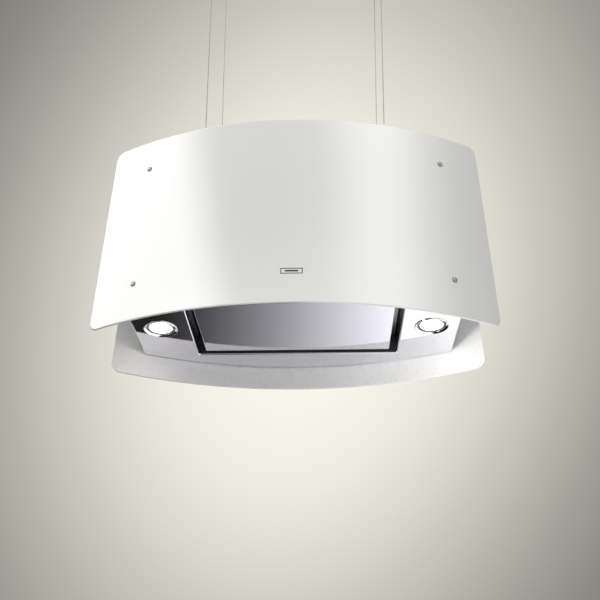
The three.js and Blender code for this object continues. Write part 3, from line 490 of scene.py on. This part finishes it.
def plunger(face, hand):
    """A sleeve on the wire with a knurled collar: pressed down, it lets the wire slide."""
    r, deep, proud = PLUNGER_RADIUS, 0.014, 0.014
    profile = [(WIRE_BORE, -deep), (r, -deep), (r, 0.0035), *arc((r + 0.0009, 0.0046), 0.0006, -90, 0, 3)]
    profile += [(r + 0.0015, 0.0062), *arc((r + 0.0009, 0.0062), 0.0006, 0, 90, 3), (r - 0.0003, 0.0080)]
    profile += [(r - 0.0007, proud - 0.0006), (r - 0.0013, proud), (WIRE_BORE, proud), (WIRE_BORE, -deep)]
    node = f"gripper_plunger_{face}_{hand}"
    skin = turn(profile, factor=knurled(0.0045, 0.0063, 24, 0.06))
    skin = skin + centre_of(node) + np.array([0, 0, deep])
    return Shell().grid(skin, around=True).piece(
        f"plunger_{face}_{hand}", chrome.material, "chrome", f"plunger_{face}_{hand}", [node])


for face, hand, sx in CORNERS:
    ceiling_fitting(face, hand)
    gripper(face, hand)
    plunger(face, hand)
    wire(face, hand, sx)

# %% [markdown]
# ## The bent glass panels
# Each panel is cut as a tall, slightly tapered shape with round corners, its edge is ground, and then it
# is bent to a cylinder. The surface here is made the same way: rows of points fill the flat shape, and
# y follows from x by the bend. The rows bunch together in the corners, so the corners come out round.


# %% Glass surface
COLUMNS = 96
CORNER_ROWS = 8
MIDDLE_ROWS = 36


def half_depth(x, inset):
    """Half the hood's depth at x: h/2 - R + sqrt((R - inset)^2 - x^2)."""
    return HOOD_DEPTH / 2 - GLASS_RADIUS + np.sqrt((GLASS_RADIUS - inset) ** 2 - x**2)


def glass_layer(side, back, depth):
    """Points of the panel drawn back from its edge, and this deep under its outer face.

    Rows: z from the corner's arc, r - r' cos t, then even steps. Half a row's width:
    w(z) = chord/2 - lean z/H - back - r' (1 - sin t). Then x = u w(z), u from -1 to 1.
    """
    radius = GLASS_CORNER - back
    t = np.linspace(0, np.pi / 2, CORNER_ROWS + 1)
    rise = GLASS_CORNER - radius * np.cos(t)
    middle = np.linspace(GLASS_CORNER, GLASS_HEIGHT - GLASS_CORNER, MIDDLE_ROWS + 1)[1:-1]
    z = np.concatenate([rise, middle, (GLASS_HEIGHT - rise)[::-1]])
    pulled = radius * (1 - np.sin(t))
    corner = np.concatenate([pulled, np.zeros(len(middle)), pulled[::-1]])
    width = HALF_CHORD - SIDE_LEAN * z / GLASS_HEIGHT - back - corner
    x = np.linspace(-1, 1, COLUMNS + 1)[None, :] * width[:, None]
    y = side * half_depth(x, depth)
    return np.stack([x, y, np.broadcast_to(z[:, None] + DATUM, x.shape)], axis=-1)


def border(layer):
    """The points of a layer along its edge, once round."""
    return np.concatenate([layer[0, :-1], layer[:-1, -1], layer[-1, :0:-1], layer[:0:-1, 0]])


def glass_panel(face, side):
    """Outer face, ground rim and enamelled inner face."""
    a, t = GLASS_ARRIS, GLASS_THICKNESS
    hold = a + HOLD
    rim = [(a, 0), (0.3 * a, 0.3 * a), (0, a), (0, t - a), (0.3 * a, t - 0.3 * a), (a, t)]
    shell = Shell()
    for strip, finish in ((rim, 1), ([(hold, 0), (a, 0)], 0), ([(a, t), (hold, t)], 2)):
        loops = [border(glass_layer(side, back, depth)) for back, depth in strip]
        shell.grid(np.stack(loops), around=True, finish=finish)
    shell.grid(glass_layer(side, hold, 0), finish=0)
    shell.grid(glass_layer(side, hold, t), finish=2)
    materials = [white_glass.material, green_rim_painted_bright.material, enamel.material]
    return shell.piece(f"bent_{face}_glass", materials, "white_glass", replaces=[f"{face}_glass"])


glass_panel("front", -1)
glass_panel("rear", 1)

# %% [markdown]
# ### A printed mark
# A maker prints a small mark in the middle of the front glass, just above its lower edge. Here it is only
# a plain frame and a bar in dark ink, with no letters. Ink lies on the glass, so its surface follows the
# same bend, a tenth of a millimetre proud.

# %% Mark
MARK_RISE = 0.073  # middle of the mark above the lower edge
MARK_HALF = (0.0235, 0.0068)
MARK_LINE = 0.0019
MARK_BAR = (0.6, 0.3)  # the bar's share of the frame, in width and height
INK = 0.0001
INK_FOOT = 0.2 * INK  # keeps the ink's back just off the glass


def inked(name, outlines):
    """Flat shapes in (x, z), given thickness and laid on the bend: y = -(half depth + ink)."""
    shell = Shell()
    for outline in outlines:
        x, z = outline[:, 0], outline[:, 1]
        rows = [np.column_stack([x, -half_depth(x, 0) - rise, z]) for rise in (INK_FOOT, INK)]
        shell.grid(np.stack(rows), around=True)
    flat, triangles = filled(outlines, 0)
    for rise in (INK_FOOT, INK):
        x = flat[:, 0]
        shell.add(np.column_stack([x, -half_depth(x, 0) - rise, flat[:, 1]]), triangles)
    return shell.piece(name, ink.material, "black_plastic")


def box_line(half_x, half_z, steps=16):
    """A rectangle in (x, z) about the mark's middle, with enough points along X to follow the bend."""
    x = np.linspace(-half_x, half_x, steps + 1)
    low = np.column_stack([x, np.full(len(x), -half_z)])
    return np.concatenate([low, -low]) + np.array([0, DATUM + MARK_RISE])


ink = Finish("ink", (0.035, 0.035, 0.037), 0.35)
ink.tint(ink.noise(0.002), (0.06, 0.06, 0.062), 0.6)
ink.rough(ink.noise(0.001), 0.06)
inked("mark_frame", [box_line(*MARK_HALF), box_line(*(half - MARK_LINE for half in MARK_HALF))])
inked("mark_bar", [box_line(MARK_BAR[0] * MARK_HALF[0], MARK_BAR[1] * MARK_HALF[1])])

# %% [markdown]
# ### Glass studs
# Every panel hangs on four studs with round caps, plated and blasted to a dull grey. A thin rubber
# washer keeps metal off glass. A stud is turned about its own axis and then laid on the glass, along
# its outward direction.


# %% Studs and washers
CAP_RADIUS = 0.0055
CAP_HEIGHT = 0.0029
SHANK_RADIUS = 0.003
STUD_LENGTH = 0.022


def laid_on_glass(points, side, x, z):
    """Turns points made about +Z so that +Z is the glass's outward direction, and moves them there."""
    sine = x / GLASS_RADIUS
    outward = np.array([sine, side * math.sqrt(1 - sine**2), 0.0])
    level = np.cross([0.0, 0.0, 1.0], outward)
    basis = np.stack([level, np.array([0.0, 0.0, 1.0]), outward])
    return points @ basis + np.array([x, side * half_depth(x, 0), z])


def stud(face, side, level, hand):
    """A cap with a rounded edge and a low dome, its shank, and a washer under the cap."""
    node = f"glass_stud_{face}_{level}_{hand}"
    low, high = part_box(node)
    z = (low.z + high.z) / 2
    rough_x = (low.x + high.x) / 2
    x = rough_x * (1 + (STUD_LENGTH - CAP_HEIGHT) / 2 / GLASS_RADIUS)
    gap, r, h = 0.0003, CAP_RADIUS, CAP_HEIGHT
    dome = [(r * s, h - 0.0009 * s**2) for s in np.linspace(0.86, 0, 6)]
    profile = [(0, -STUD_LENGTH), (SHANK_RADIUS, -STUD_LENGTH), (SHANK_RADIUS, gap)]
    profile += [(r - 0.0003, gap), (r, gap + 0.0003), (r, h - 0.0016)]
    profile += [*arc((r - 0.0006, h - 0.0014), 0.0006, 10, 70, 3), *dome]
    bore = SHANK_RADIUS + 0.0002
    washer = [(bore, 0), (r + 0.0006, 0), (r + 0.0007, 0.00015), (r + 0.0006, gap), (bore, gap), (bore, 0)]
    shell = Shell().grid(laid_on_glass(turn(profile), side, x, z), around=True, finish=0)
    shell.grid(laid_on_glass(turn(washer), side, x, z), around=True, finish=1)
    materials = [satin_chrome.material, rubber.material]
    return shell.piece(f"stud_{face}_{level}_{hand}", materials, "chrome", replaces=[node])


for face, side in FACES:
    for level in ("lower", "upper"):
        for hand, _ in HANDS:
            stud(face, side, level, hand)

# %% [markdown]
# ## Folded sheet metal
# The tray, the suction panel and the grille are cut from flat sheet and folded. A flat with holes is
# filled between closed outlines. At each outline the sheet goes round a fold or an eased edge, and that
# is a profile of (distance drawn back, height) carried along the outline. Both share the same points.


# %% Outlines and folds
def lens_outline(half, inset, steps=72, end_steps=10):
    """The plan between the two bent panels, as a function of the distance d drawn back from its edge."""
    def outline(d):
        x = np.linspace(-(half - d), half - d, steps + 1)
        y = half_depth(x, inset + d)
        end = np.linspace(-1, 1, end_steps + 1)[1:-1]
        right = np.column_stack([np.full(len(end), half - d), end * y[-1]])
        return np.concatenate([np.column_stack([x, -y]), right, np.column_stack([x, y])[::-1], -right])
    return outline


def rectangle(half_x, half_y, radius, centre=(0, 0), grow=-1):
    """A round-cornered rectangle; grow is -1 for an outer edge, 1 for the edge of a hole."""
    def outline(d):
        r = radius + grow * d
        angle = np.radians(np.linspace(0, 90, 7))
        parts = []
        for k, (sx, sy) in enumerate(((1, 1), (-1, 1), (-1, -1), (1, -1))):
            turned_by = angle + k * math.pi / 2
            parts.append(np.column_stack([
                sx * (half_x - radius) + r * np.cos(turned_by),
                sy * (half_y - radius) + r * np.sin(turned_by)]))
        return np.concatenate(parts) + np.array(centre)
    return outline


def round_hole(radius, centre):
    """A circle that grows by d."""
    def outline(d):
        angle = np.linspace(0, 2 * np.pi, ROUND, endpoint=False)
        return np.array(centre) + (radius + d) * np.column_stack([np.cos(angle), np.sin(angle)])
    return outline


def folded(z, sheet, bend, height):
    """A flange: round the bend, up to its height, over its edge and back down round the inner bend."""
    def quarter(radius, angles):
        """(bend - r sin a, z + bend - r cos a)."""
        return [(bend - radius * math.sin(a), z + bend - radius * math.cos(a)) for a in angles]

    outer = quarter(bend, np.linspace(0, math.pi / 2, 7))
    inner = quarter(bend - sheet, np.linspace(math.pi / 2, 0, 5))
    hold = bend + HOLD
    ease = 0.2 * sheet
    top = z + height
    edge = [(0, top - ease), (ease, top), (sheet - ease, top), (sheet, top - ease)]
    return [(hold, z), *outer, *edge, *inner, (hold, z + sheet)]


def eased(z0, z1, ease):
    """A cut edge with its burr taken off."""
    hold = ease + HOLD
    return [(hold, z0), (ease, z0), (0, z0 + ease), (0, z1 - ease), (ease, z1), (hold, z1)]


def pressed(edges):
    """Sheet between edges: each is an outline, its profile of (d, z) and the row where finish 1 begins.

    The first and last points of the profiles lie on the two flats, which are filled between them.
    """
    shell = Shell()
    for outline, profile, *change in edges:
        loops = [(outline(d), z) for d, z in profile]
        rows = np.stack([np.column_stack([loop, np.full(len(loop), z)]) for loop, z in loops])
        row = change[0] if change else len(rows) - 1
        shell.grid(rows[:row + 1], around=True)
        if change:
            shell.grid(rows[row:], around=True, finish=1)
    for end in (0, -1):
        flat = edges[0][1][end][1]
        shell.add(*filled([outline(profile[end][0]) for outline, profile, *_ in edges], flat))
    return shell


# %% [markdown]
# ### The tray
# One sheet of polished steel fills the plan between the glass panels. Its rim turns up all round. The
# suction opening in the middle has a tall flange that carries the filters, and each end has a lamp hole.

# %% Tray
OPENING_GAP = 0.020  # round the suction panel
FLANGE_HEIGHT = 0.062
OPENING_CORNER = 0.0045
LAMP_NECK = 0.0365
FLANGE_START = 6  # last row of the bend: the dark flange starts here
opening_x = panel_box[1].x + OPENING_GAP
opening_y = panel_box[1].y + OPENING_GAP
lamp_x = centre_of("lamp_bezel_right")[0]
rim = (lens_outline(TRAY_HALF, SHEET_INSET), folded(TRAY_UNDER, SHEET, BEND, RIM_HEIGHT))
opening = rectangle(opening_x, opening_y, OPENING_CORNER, grow=1)
flange = folded(TRAY_UNDER, SHEET, BEND, FLANGE_HEIGHT)
tray_edges = [rim, (opening, flange, FLANGE_START)]
for _, sx in HANDS:
    hole = round_hole(LAMP_NECK + 0.0005, (sx * lamp_x, 0))
    tray_edges.append((hole, eased(TRAY_UNDER, TRAY_UNDER + SHEET, 0.0002)))
tray_finishes = [polished_steel.material, near_black_flange.material]
pressed(tray_edges).piece("tray", tray_finishes, "polished_steel", replaces=["bottom_tray"])

# %% [markdown]
# ### The suction panel
# The panel is a shallow pan of the same polished steel. It hides the filters and leaves a narrow gap
# all round, where the air goes in fast. It swings down on two hinges along its front edge.

# %% Suction panel
PANEL_SHEET = 0.0012
PANEL_CORNER = 0.0035
PANEL_BEND = 0.0024
panel_edge = rectangle(panel_box[1].x, panel_box[1].y, PANEL_CORNER)
panel_fold = folded(panel_box[0].z, PANEL_SHEET, PANEL_BEND, panel_box[1].z - panel_box[0].z)
pressed([(panel_edge, panel_fold)]).piece(
    "panel_skin", polished_steel.material, "polished_steel", "suction_flap", ["suction_panel"])

# %% [markdown]
# ### The outlet grille
# Cleaned air leaves upwards through rows of slots in a satin plate with a screw at each corner.

# %% Grille
GRILLE_SLOT = 0.009
GRILLE_PITCH = 0.020
GRILLE_BAR = 0.012
GRILLE_LIP = 0.020  # closed border outside the slots
GRILLE_CORNER = 0.004
grille_low, grille_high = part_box("outlet_grille")
slot_room = grille_high.x - GRILLE_LIP
slot_count = int(2 * slot_room / GRILLE_PITCH)
slot_outer = grille_high.y - GRILLE_LIP
slot_half = (slot_outer - GRILLE_BAR / 2) / 2
grille_plan = rectangle(grille_high.x, grille_high.y, GRILLE_CORNER)
grille_edges = [(grille_plan, eased(grille_low.z, grille_high.z, 0.0004))]
for i in range(slot_count):
    for sy in (-1, 1):
        place = ((i - (slot_count - 1) / 2) * GRILLE_PITCH, sy * (slot_outer - slot_half))
        slot = rectangle(GRILLE_SLOT / 2, slot_half, GRILLE_SLOT / 2 - 0.0001, place, 1)
        grille_edges.append((slot, eased(grille_low.z, grille_high.z, 0.0003)))
pressed(grille_edges).piece("grille", satin_steel.material, "satin_steel", replaces=["outlet_grille"])

# %% [markdown]
# ### Screws
# Pan-head screws hold the grille, the end panels and the cover. The head is a low dome with a cross
# recess, made by pressing the dome down where the angle and radius fall in the cross.


# %% Screw heads
SCREW_INSET = 0.012  # from the side of the sheet
SCREW_RISE = 0.040  # from its lower or upper edge
GRILLE_SCREW_INSET = 0.005
CROSS_WIDTH = 0.2  # of the recess, as shares of the head's radius
CROSS_REACH = 0.6
CROSS_DEPTH = 0.28


def screw(name, place, outward, radius=0.0038):
    """Height at radius r and angle a: h (1 - (r/R)^2 / 2), less the recess where |sin 2a| r < width."""
    share = np.array([0, 0.12, 0.24, 0.36, 0.48, 0.6, 0.72, 0.84, 0.94, 1.0])
    height = 0.45 * radius
    angle = np.linspace(0, 2 * np.pi, 32, endpoint=False)
    r = radius * share[:, None]
    near_arm = np.abs(np.sin(2 * angle))[None, :] * r < CROSS_WIDTH * radius
    in_cross = near_arm & (share[:, None] < CROSS_REACH)
    z = height * (1 - share[:, None] ** 2 / 2) - CROSS_DEPTH * radius * in_cross
    dome = np.stack(np.broadcast_arrays(r * np.cos(angle), r * np.sin(angle), z), axis=-1)
    skirt = np.stack([dome[-1], dome[-1] * [1, 1, 0], dome[-1] * [0, 0, 0]])
    outward = np.array(outward, float)
    level = np.cross(outward, [0.3, 0.5, 0.81])
    level /= np.linalg.norm(level)
    basis = np.stack([level, np.cross(outward, level), outward])
    shell = Shell()
    for surface in (dome, skirt):
        shell.grid(surface @ basis + np.array(place), around=True)
    return shell.piece(name, chrome.material, "chrome", crease=35)


grille_screw_x = grille_high.x - GRILLE_SCREW_INSET
grille_screw_y = grille_high.y - GRILLE_SCREW_INSET
for hand, sx in HANDS:
    for face, sy in FACES:
        corner = (sx * grille_screw_x, sy * grille_screw_y, grille_high.z)
        screw(f"grille_screw_{hand}_{face}", corner, (0, 0, 1))

end_low, end_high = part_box("end_panel_right")
for hand, sx in HANDS:
    for face, sy in FACES:
        for level, z in (("lower", end_low.z + SCREW_RISE), ("upper", end_high.z - SCREW_RISE)):
            place = (sx * end_high.x, sy * (end_high.y - SCREW_INSET), z)
            screw(f"end_screw_{hand}_{face}_{level}", place, (sx, 0, 0))

cover_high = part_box("top_cover")[1]
cover_screw_x = cover_high.x - 2 * SCREW_INSET
cover_screw_y = cover_high.y - 1.5 * SCREW_INSET
for face, sy in FACES:
    screw("cover_screw_mid_" + face, (0, sy * cover_screw_y, cover_high.z), (0, 0, 1))
for hand, sx in HANDS:
    for face, sy in FACES:
        place = (sx * cover_screw_x, sy * cover_screw_y / 2, cover_high.z)
        screw(f"cover_screw_{hand}_{face}", place, (0, 0, 1))

# %% [markdown]
# ## Lamps
# A lamp is a chromed ring, a dark gasket sunk inside it and a slightly domed diffuser that glows. The
# ring is dished: its crest stands just below the tray and it slopes up towards the sunk gasket.

# %% Lamp rings, gaskets and diffusers
LAMP_RADIUS = 0.040
LENS_RADIUS = 0.0265
LAMP_SIDES = 96


def lamp(hand):
    """Three turned pieces on one axis."""
    place = np.array([*centre_of(f"lamp_bezel_{hand}")[:2], TRAY_UNDER])
    under, bore = -0.0003, LENS_RADIUS + 0.0065
    ring = [(bore, 0.012), (bore, 0.0014), *arc((bore + 0.0006, 0.0014), 0.0006, 180, 240, 4)]
    ring += arc((LAMP_RADIUS - 0.0016, under - 0.0002), 0.0014, 244, 345, 7)
    ring += [(LAMP_RADIUS, under), (LAMP_NECK, under), (LAMP_NECK, 0.012), (bore, 0.012)]
    Shell().grid(turn(ring, LAMP_SIDES) + place, around=True).piece(
        f"lamp_ring_{hand}", chrome.material, "chrome", replaces=[f"lamp_bezel_{hand}"])
    inner, outer = LENS_RADIUS + 0.0002, bore - 0.0001
    gasket = [(inner, 0.0060), (inner, 0.0028), (inner + 0.0008, 0.0022), (outer - 0.0005, 0.0022)]
    gasket += [(outer, 0.0027), (outer, 0.0060), (inner, 0.0060)]
    Shell().grid(turn(gasket, LAMP_SIDES) + place, around=True).piece(
        f"lamp_gasket_{hand}", rubber.material, "black_plastic")
    edge, foot = LENS_RADIUS, LENS_RADIUS + 0.0035
    lens = [(edge * s, 0.0010 + 0.0012 * s**2) for s in np.linspace(0, 0.97, 9)]
    lens += [(edge, 0.0026), (edge, 0.004), (foot, 0.004), (foot, 0.007), (0, 0.007)]
    Shell().grid(turn(lens, LAMP_SIDES) + place, around=True).piece(
        f"lamp_diffuser_{hand}", lamp_opal.material, "lamp_opal", replaces=[f"lamp_lens_{hand}"])


for hand in ("left", "right"):
    lamp(hand)

# %% [markdown]
# ## Measured pieces with eased edges
# Walls, end panels, filters and hinge parts have the right shape in the measured model, but every edge
# there is perfectly sharp. A copy is welded, its flats are joined, and its edges are bevelled a little,
# because real folded and cast edges are round and catch the light.


# %% Easing edges
def softened(node, material, body="root", width=0.0004, crease=28):
    """A welded copy of a measured piece, with a bevel on every edge sharper than 30 degrees."""
    work = bmesh.new()
    work.from_mesh(frame_nodes[node].data)
    bmesh.ops.remove_doubles(work, verts=work.verts, dist=1e-6)
    bmesh.ops.dissolve_limit(work, angle_limit=math.radians(0.4), verts=work.verts, edges=work.edges)
    mesh = bpy.data.meshes.new(node + "_finished")
    work.to_mesh(mesh)
    work.free()
    made = settle(mesh, node + "_finished", material, body, [node], crease)
    bevel = made.modifiers.new("eased edges", "BEVEL")
    bevel.width = width
    bevel.segments = 2
    bevel.limit_method = "ANGLE"
    bevel.angle_limit = math.radians(30)
    bevel.harden_normals = True
    return made


frame_nodes = {node: bpy.data.objects[node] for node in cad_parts}
for face in ("front", "rear"):
    softened(face + "_wall", zinc_steel.material)
for hand in ("left", "right"):
    softened("end_panel_" + hand, satin_steel.material)
    softened("hinge_bracket_" + hand, zinc_steel.material)
    softened("grease_filter_" + hand, aluminium.material)
    softened("filter_latch_" + hand, grey_plastic.material, "latch_" + hand)
softened("top_cover", satin_steel.material)
softened("filter_frame", zinc_steel.material)
softened("panel_backing", zinc_steel.material, "suction_flap")
softened("panel_catch", black_plastic.material)
softened("cable_gland", black_plastic.material)
softened("charcoal_filter", fleece.material)

# %% [markdown]
# ## Measured pieces kept as they are
# Pieces deep inside keep their measured shape and only get a finish.

# %% Finishes for the pieces inside
KEPT = {
    "zinc_steel": (zinc_steel, ["deck_plate", "motor"]),
    "chrome": (chrome, ["motor_shaft", "hinge_pin_left", "hinge_pin_right"]),
    "grey_plastic": (grey_plastic, ["impeller", "blower_housing_left", "blower_housing_right"]),
    "black_plastic": (black_plastic, ["control_box"]),
    "aluminium": (aluminium, ["lamp_housing_left", "lamp_housing_right"]),
}
for slot, (made, names) in KEPT.items():
    for node in names:
        frame_nodes[node].data.materials.clear()
        frame_nodes[node].data.materials.append(made.material)
    print(slot, "on", ", ".join(names))

# %% [markdown]
# ## Room, floor and light
# The studio is a plain pale floor and a soft surround. The surround glows behind the hood and falls off
# to the sides. Below the horizon it runs from dusk on the left to daylight on the right, which is what
# the polished tray mirrors. Two tall soft windows stand in front: a wide one on the left with a slanted
# edge, and a narrow one on the right. The bent glass mirrors both as soft bright bands.


# %% Surround
GLOW = Vector((-0.0261, 0.8785, 0.4773)).normalized()  # where the surround is brightest
GLOW_LEVEL = 0.942
GLOW_BASE = 0.10
GLOW_TINT = (1.031, 1.0, 0.898)
GLOW_FALL = 6.9  # in exp(-fall (2 (1 - cos) + width across^2)^power)
GLOW_WIDTH = 0.8
GLOW_POWER = 1.25
GLOW_ACROSS = Vector((0.9650, 0.1529, -0.2133)).normalized()
FRONT_BASE = 0.20
FRONT_TINT = (1.0, 1.0, 0.995)
WINDOW_LEFT = 3.7  # brightness
WINDOW_RIGHT = 3.1
WINDOW_EDGE = Vector((0.799, -0.086, 0.596)).normalized()  # the left window is on its far side
WINDOW_EDGE_SOFT = (0.14, -0.10)
WINDOW_RIGHT_AT = Vector((0.530, -0.848, 0.0))
WINDOW_NARROW = 17.0
WINDOW_FOOT = (0.25, 0.40)  # the windows fade in and out between these heights
WINDOW_HEAD = (0.88, 0.72)
RAMP_CENTRE = -0.146  # below the horizon: (gain (x/|y| - centre) + level)^power
RAMP_GAIN = 2.61
RAMP_LEVEL = 0.372
RAMP_LIMITS = (0.16, 1.06)
RAMP_POWER = 2.2
RAMP_TINT = (1.13, 1.12, 1.19)
HORIZON_SOFT = 0.06
FRONT_SOFT = 0.12

world = bpy.data.worlds.new("surround")
world.use_nodes = True
bpy.context.scene.world = world
world_nodes, world_links = world.node_tree.nodes, world.node_tree.links


def math_node(operation, a, b=None, c=None):
    """One arithmetic step in the surround's nodes."""
    node = world_nodes.new("ShaderNodeMath")
    node.operation = operation
    for socket, value in zip(node.inputs, (a, b, c)):
        if value is None:
            continue
        if isinstance(value, (int, float)):
            socket.default_value = value
        else:
            world_links.new(value, socket)
    return node.outputs[0]


def direction_cosine(direction, target):
    """Cosine between the looked-at direction and a target."""
    node = world_nodes.new("ShaderNodeVectorMath")
    node.operation = "DOT_PRODUCT"
    world_links.new(direction, node.inputs[0])
    node.inputs[1].default_value = target
    return node.outputs["Value"]


def mixed(share, first, second):
    """Blends two colours by a share."""
    node = world_nodes.new("ShaderNodeMix")
    node.data_type = "RGBA"
    world_links.new(share, node.inputs[0])
    sockets = [s for s in node.inputs if s.type == "RGBA"]
    for socket, value in zip(sockets, (first, second)):
        if isinstance(value, tuple):
            socket.default_value = value
        else:
            world_links.new(value, socket)
    return [s for s in node.outputs if s.type == "RGBA"][0]


def scaled(color, level):
    """A colour times a level."""
    node = world_nodes.new("ShaderNodeVectorMath")
    node.operation = "SCALE"
    node.inputs[0].default_value = color
    world_links.new(level, node.inputs["Scale"])
    return node.outputs[0]


def step_between(value, start, end):
    """A smooth step from 0 at start to 1 at end."""
    node = world_nodes.new("ShaderNodeMapRange")
    node.interpolation_type = "SMOOTHSTEP"
    node.inputs["From Min"].default_value = start
    node.inputs["From Max"].default_value = end
    world_links.new(value, node.inputs["Value"])
    return node.outputs["Result"]


looking = world_nodes.new("ShaderNodeTexCoord").outputs["Generated"]
parts = world_nodes.new("ShaderNodeSeparateXYZ")
world_links.new(looking, parts.inputs[0])
look_x, look_y, look_z = (parts.outputs[axis] for axis in "XYZ")

# the glow behind the hood
away = math_node("MULTIPLY", math_node("SUBTRACT", 1.0, direction_cosine(looking, GLOW)), 2.0)
across = math_node("POWER", math_node("ABSOLUTE", direction_cosine(looking, GLOW_ACROSS)), 2.0)
away = math_node("MULTIPLY_ADD", across, GLOW_WIDTH, away)
fall = math_node("MULTIPLY", math_node("POWER", away, GLOW_POWER), -GLOW_FALL)
glow = math_node("MULTIPLY_ADD", math_node("EXPONENT", fall), GLOW_LEVEL - GLOW_BASE, GLOW_BASE)
behind = scaled(GLOW_TINT, glow)

# the two windows in front
foot = step_between(look_z, *WINDOW_FOOT)
head = step_between(look_z, *WINDOW_HEAD)
height = math_node("MULTIPLY", foot, head)
level = math_node("SQRT", math_node("SUBTRACT", 1.0, math_node("POWER", look_z, 2.0)))
toward = direction_cosine(looking, WINDOW_RIGHT_AT)
facing = math_node("DIVIDE", toward, math_node("MAXIMUM", level, 0.05))
narrow = math_node("MULTIPLY", math_node("SUBTRACT", facing, 1.0), WINDOW_NARROW)
right = math_node("MULTIPLY", math_node("EXPONENT", narrow), WINDOW_RIGHT)
left = step_between(direction_cosine(looking, WINDOW_EDGE), *WINDOW_EDGE_SOFT)
windows = math_node("MULTIPLY", math_node("MULTIPLY_ADD", left, WINDOW_LEFT, right), height)
front = scaled(FRONT_TINT, math_node("ADD", windows, FRONT_BASE))
in_front = step_between(look_y, FRONT_SOFT, -FRONT_SOFT)
upper = mixed(in_front, behind, front)

# dusk to daylight below the horizon
depth = math_node("MAXIMUM", math_node("ABSOLUTE", look_y), 0.2)
slope = math_node("SUBTRACT", math_node("DIVIDE", look_x, depth), RAMP_CENTRE)
ramp = math_node("MULTIPLY_ADD", slope, RAMP_GAIN, RAMP_LEVEL)
ramp = math_node("MINIMUM", math_node("MAXIMUM", ramp, RAMP_LIMITS[0]), RAMP_LIMITS[1])
lower = scaled(RAMP_TINT, math_node("POWER", ramp, RAMP_POWER))

above = step_between(look_z, -HORIZON_SOFT, HORIZON_SOFT)
background = world_nodes["Background"]
world_links.new(mixed(above, lower, upper), background.inputs["Color"])
print("surround made")

# %% [markdown]
# ### Floor and lights
# The floor is wide enough to reach the horizon. Polished pieces don't mirror it, because they mirror the
# surround. A high soft box lights the front glass from in front, and one stands behind and above. A soft
# spot low on the left brightens the right end of the rear glass. Each lamp also throws a little light.

# %% Floor
FLOOR = DATUM - 1.65
FLOOR_HALF = 30
floor_mesh = bpy.data.meshes.new("floor")
floor_signs = ((-1, -1), (1, -1), (1, 1), (-1, 1))
floor_corners = [(sx * FLOOR_HALF, sy * FLOOR_HALF, FLOOR) for sx, sy in floor_signs]
floor_mesh.from_pydata(floor_corners, [], [(0, 1, 2, 3)])
floor = bpy.data.objects.new("floor", floor_mesh)
bpy.context.collection.objects.link(floor)
pale_floor = Finish("pale_floor", (0.60, 0.59, 0.57), 0.7)
pale_floor.tint(pale_floor.noise(0.8), (0.56, 0.55, 0.53))
floor_mesh.materials.append(pale_floor.material)
floor.visible_glossy = False
print("floor at", round(FLOOR, 3))


# %% Lights
def placed_light(data, place, target=None):
    """Puts a light in the scene, turned to its target if it has one."""
    made = bpy.data.objects.new(data.name, data)
    bpy.context.collection.objects.link(made)
    if target:
        direction = Vector(target) - Vector(place)
        made.matrix_world = direction.to_track_quat("-Z", "Y").to_matrix().to_4x4()
    made.location = place
    return made


def soft_box(name, place, width, height, power):
    """A rectangular light that faces the middle of the hood."""
    data = bpy.data.lights.new(name, "AREA")
    data.shape = "RECTANGLE"
    data.size = width
    data.size_y = height
    data.energy = power
    made = placed_light(data, place, (0, 0, DATUM + GLASS_HEIGHT / 2))
    made.visible_glossy = False
    return made


def soft_spot(name, place, target, spread, power):
    """A round light with a soft edge that faces its target."""
    data = bpy.data.lights.new(name, "SPOT")
    data.spot_size = spread
    data.spot_blend = 1.0
    data.shadow_soft_size = 0.30
    data.energy = power
    return placed_light(data, place, target)


def lamp_light(hand):
    """The light that a lamp throws round it; mirrors show the diffuser in its place."""
    data = bpy.data.lights.new("lamp_light_" + hand, "POINT")
    data.energy = 0.2
    data.shadow_soft_size = 0.012
    data.color = (1.0, 0.97, 0.93)
    x, y, _ = centre_of(f"lamp_bezel_{hand}")
    made = placed_light(data, (x, y, TRAY_UNDER - 0.016))
    made.visible_glossy = False
    return made


soft_box("box_high", (0.0, -1.2, 1.0), 1.2, 0.8, 20)
soft_box("box_behind", (0.3, 1.5, 2.0), 1.6, 1.0, 40)
soft_spot("spot_low", (-0.9, -0.6, -2.3), (0.40, 0.12, DATUM + 0.02), math.radians(21), 150)
for hand, _ in HANDS:
    lamp_light(hand)
print("five lights made")
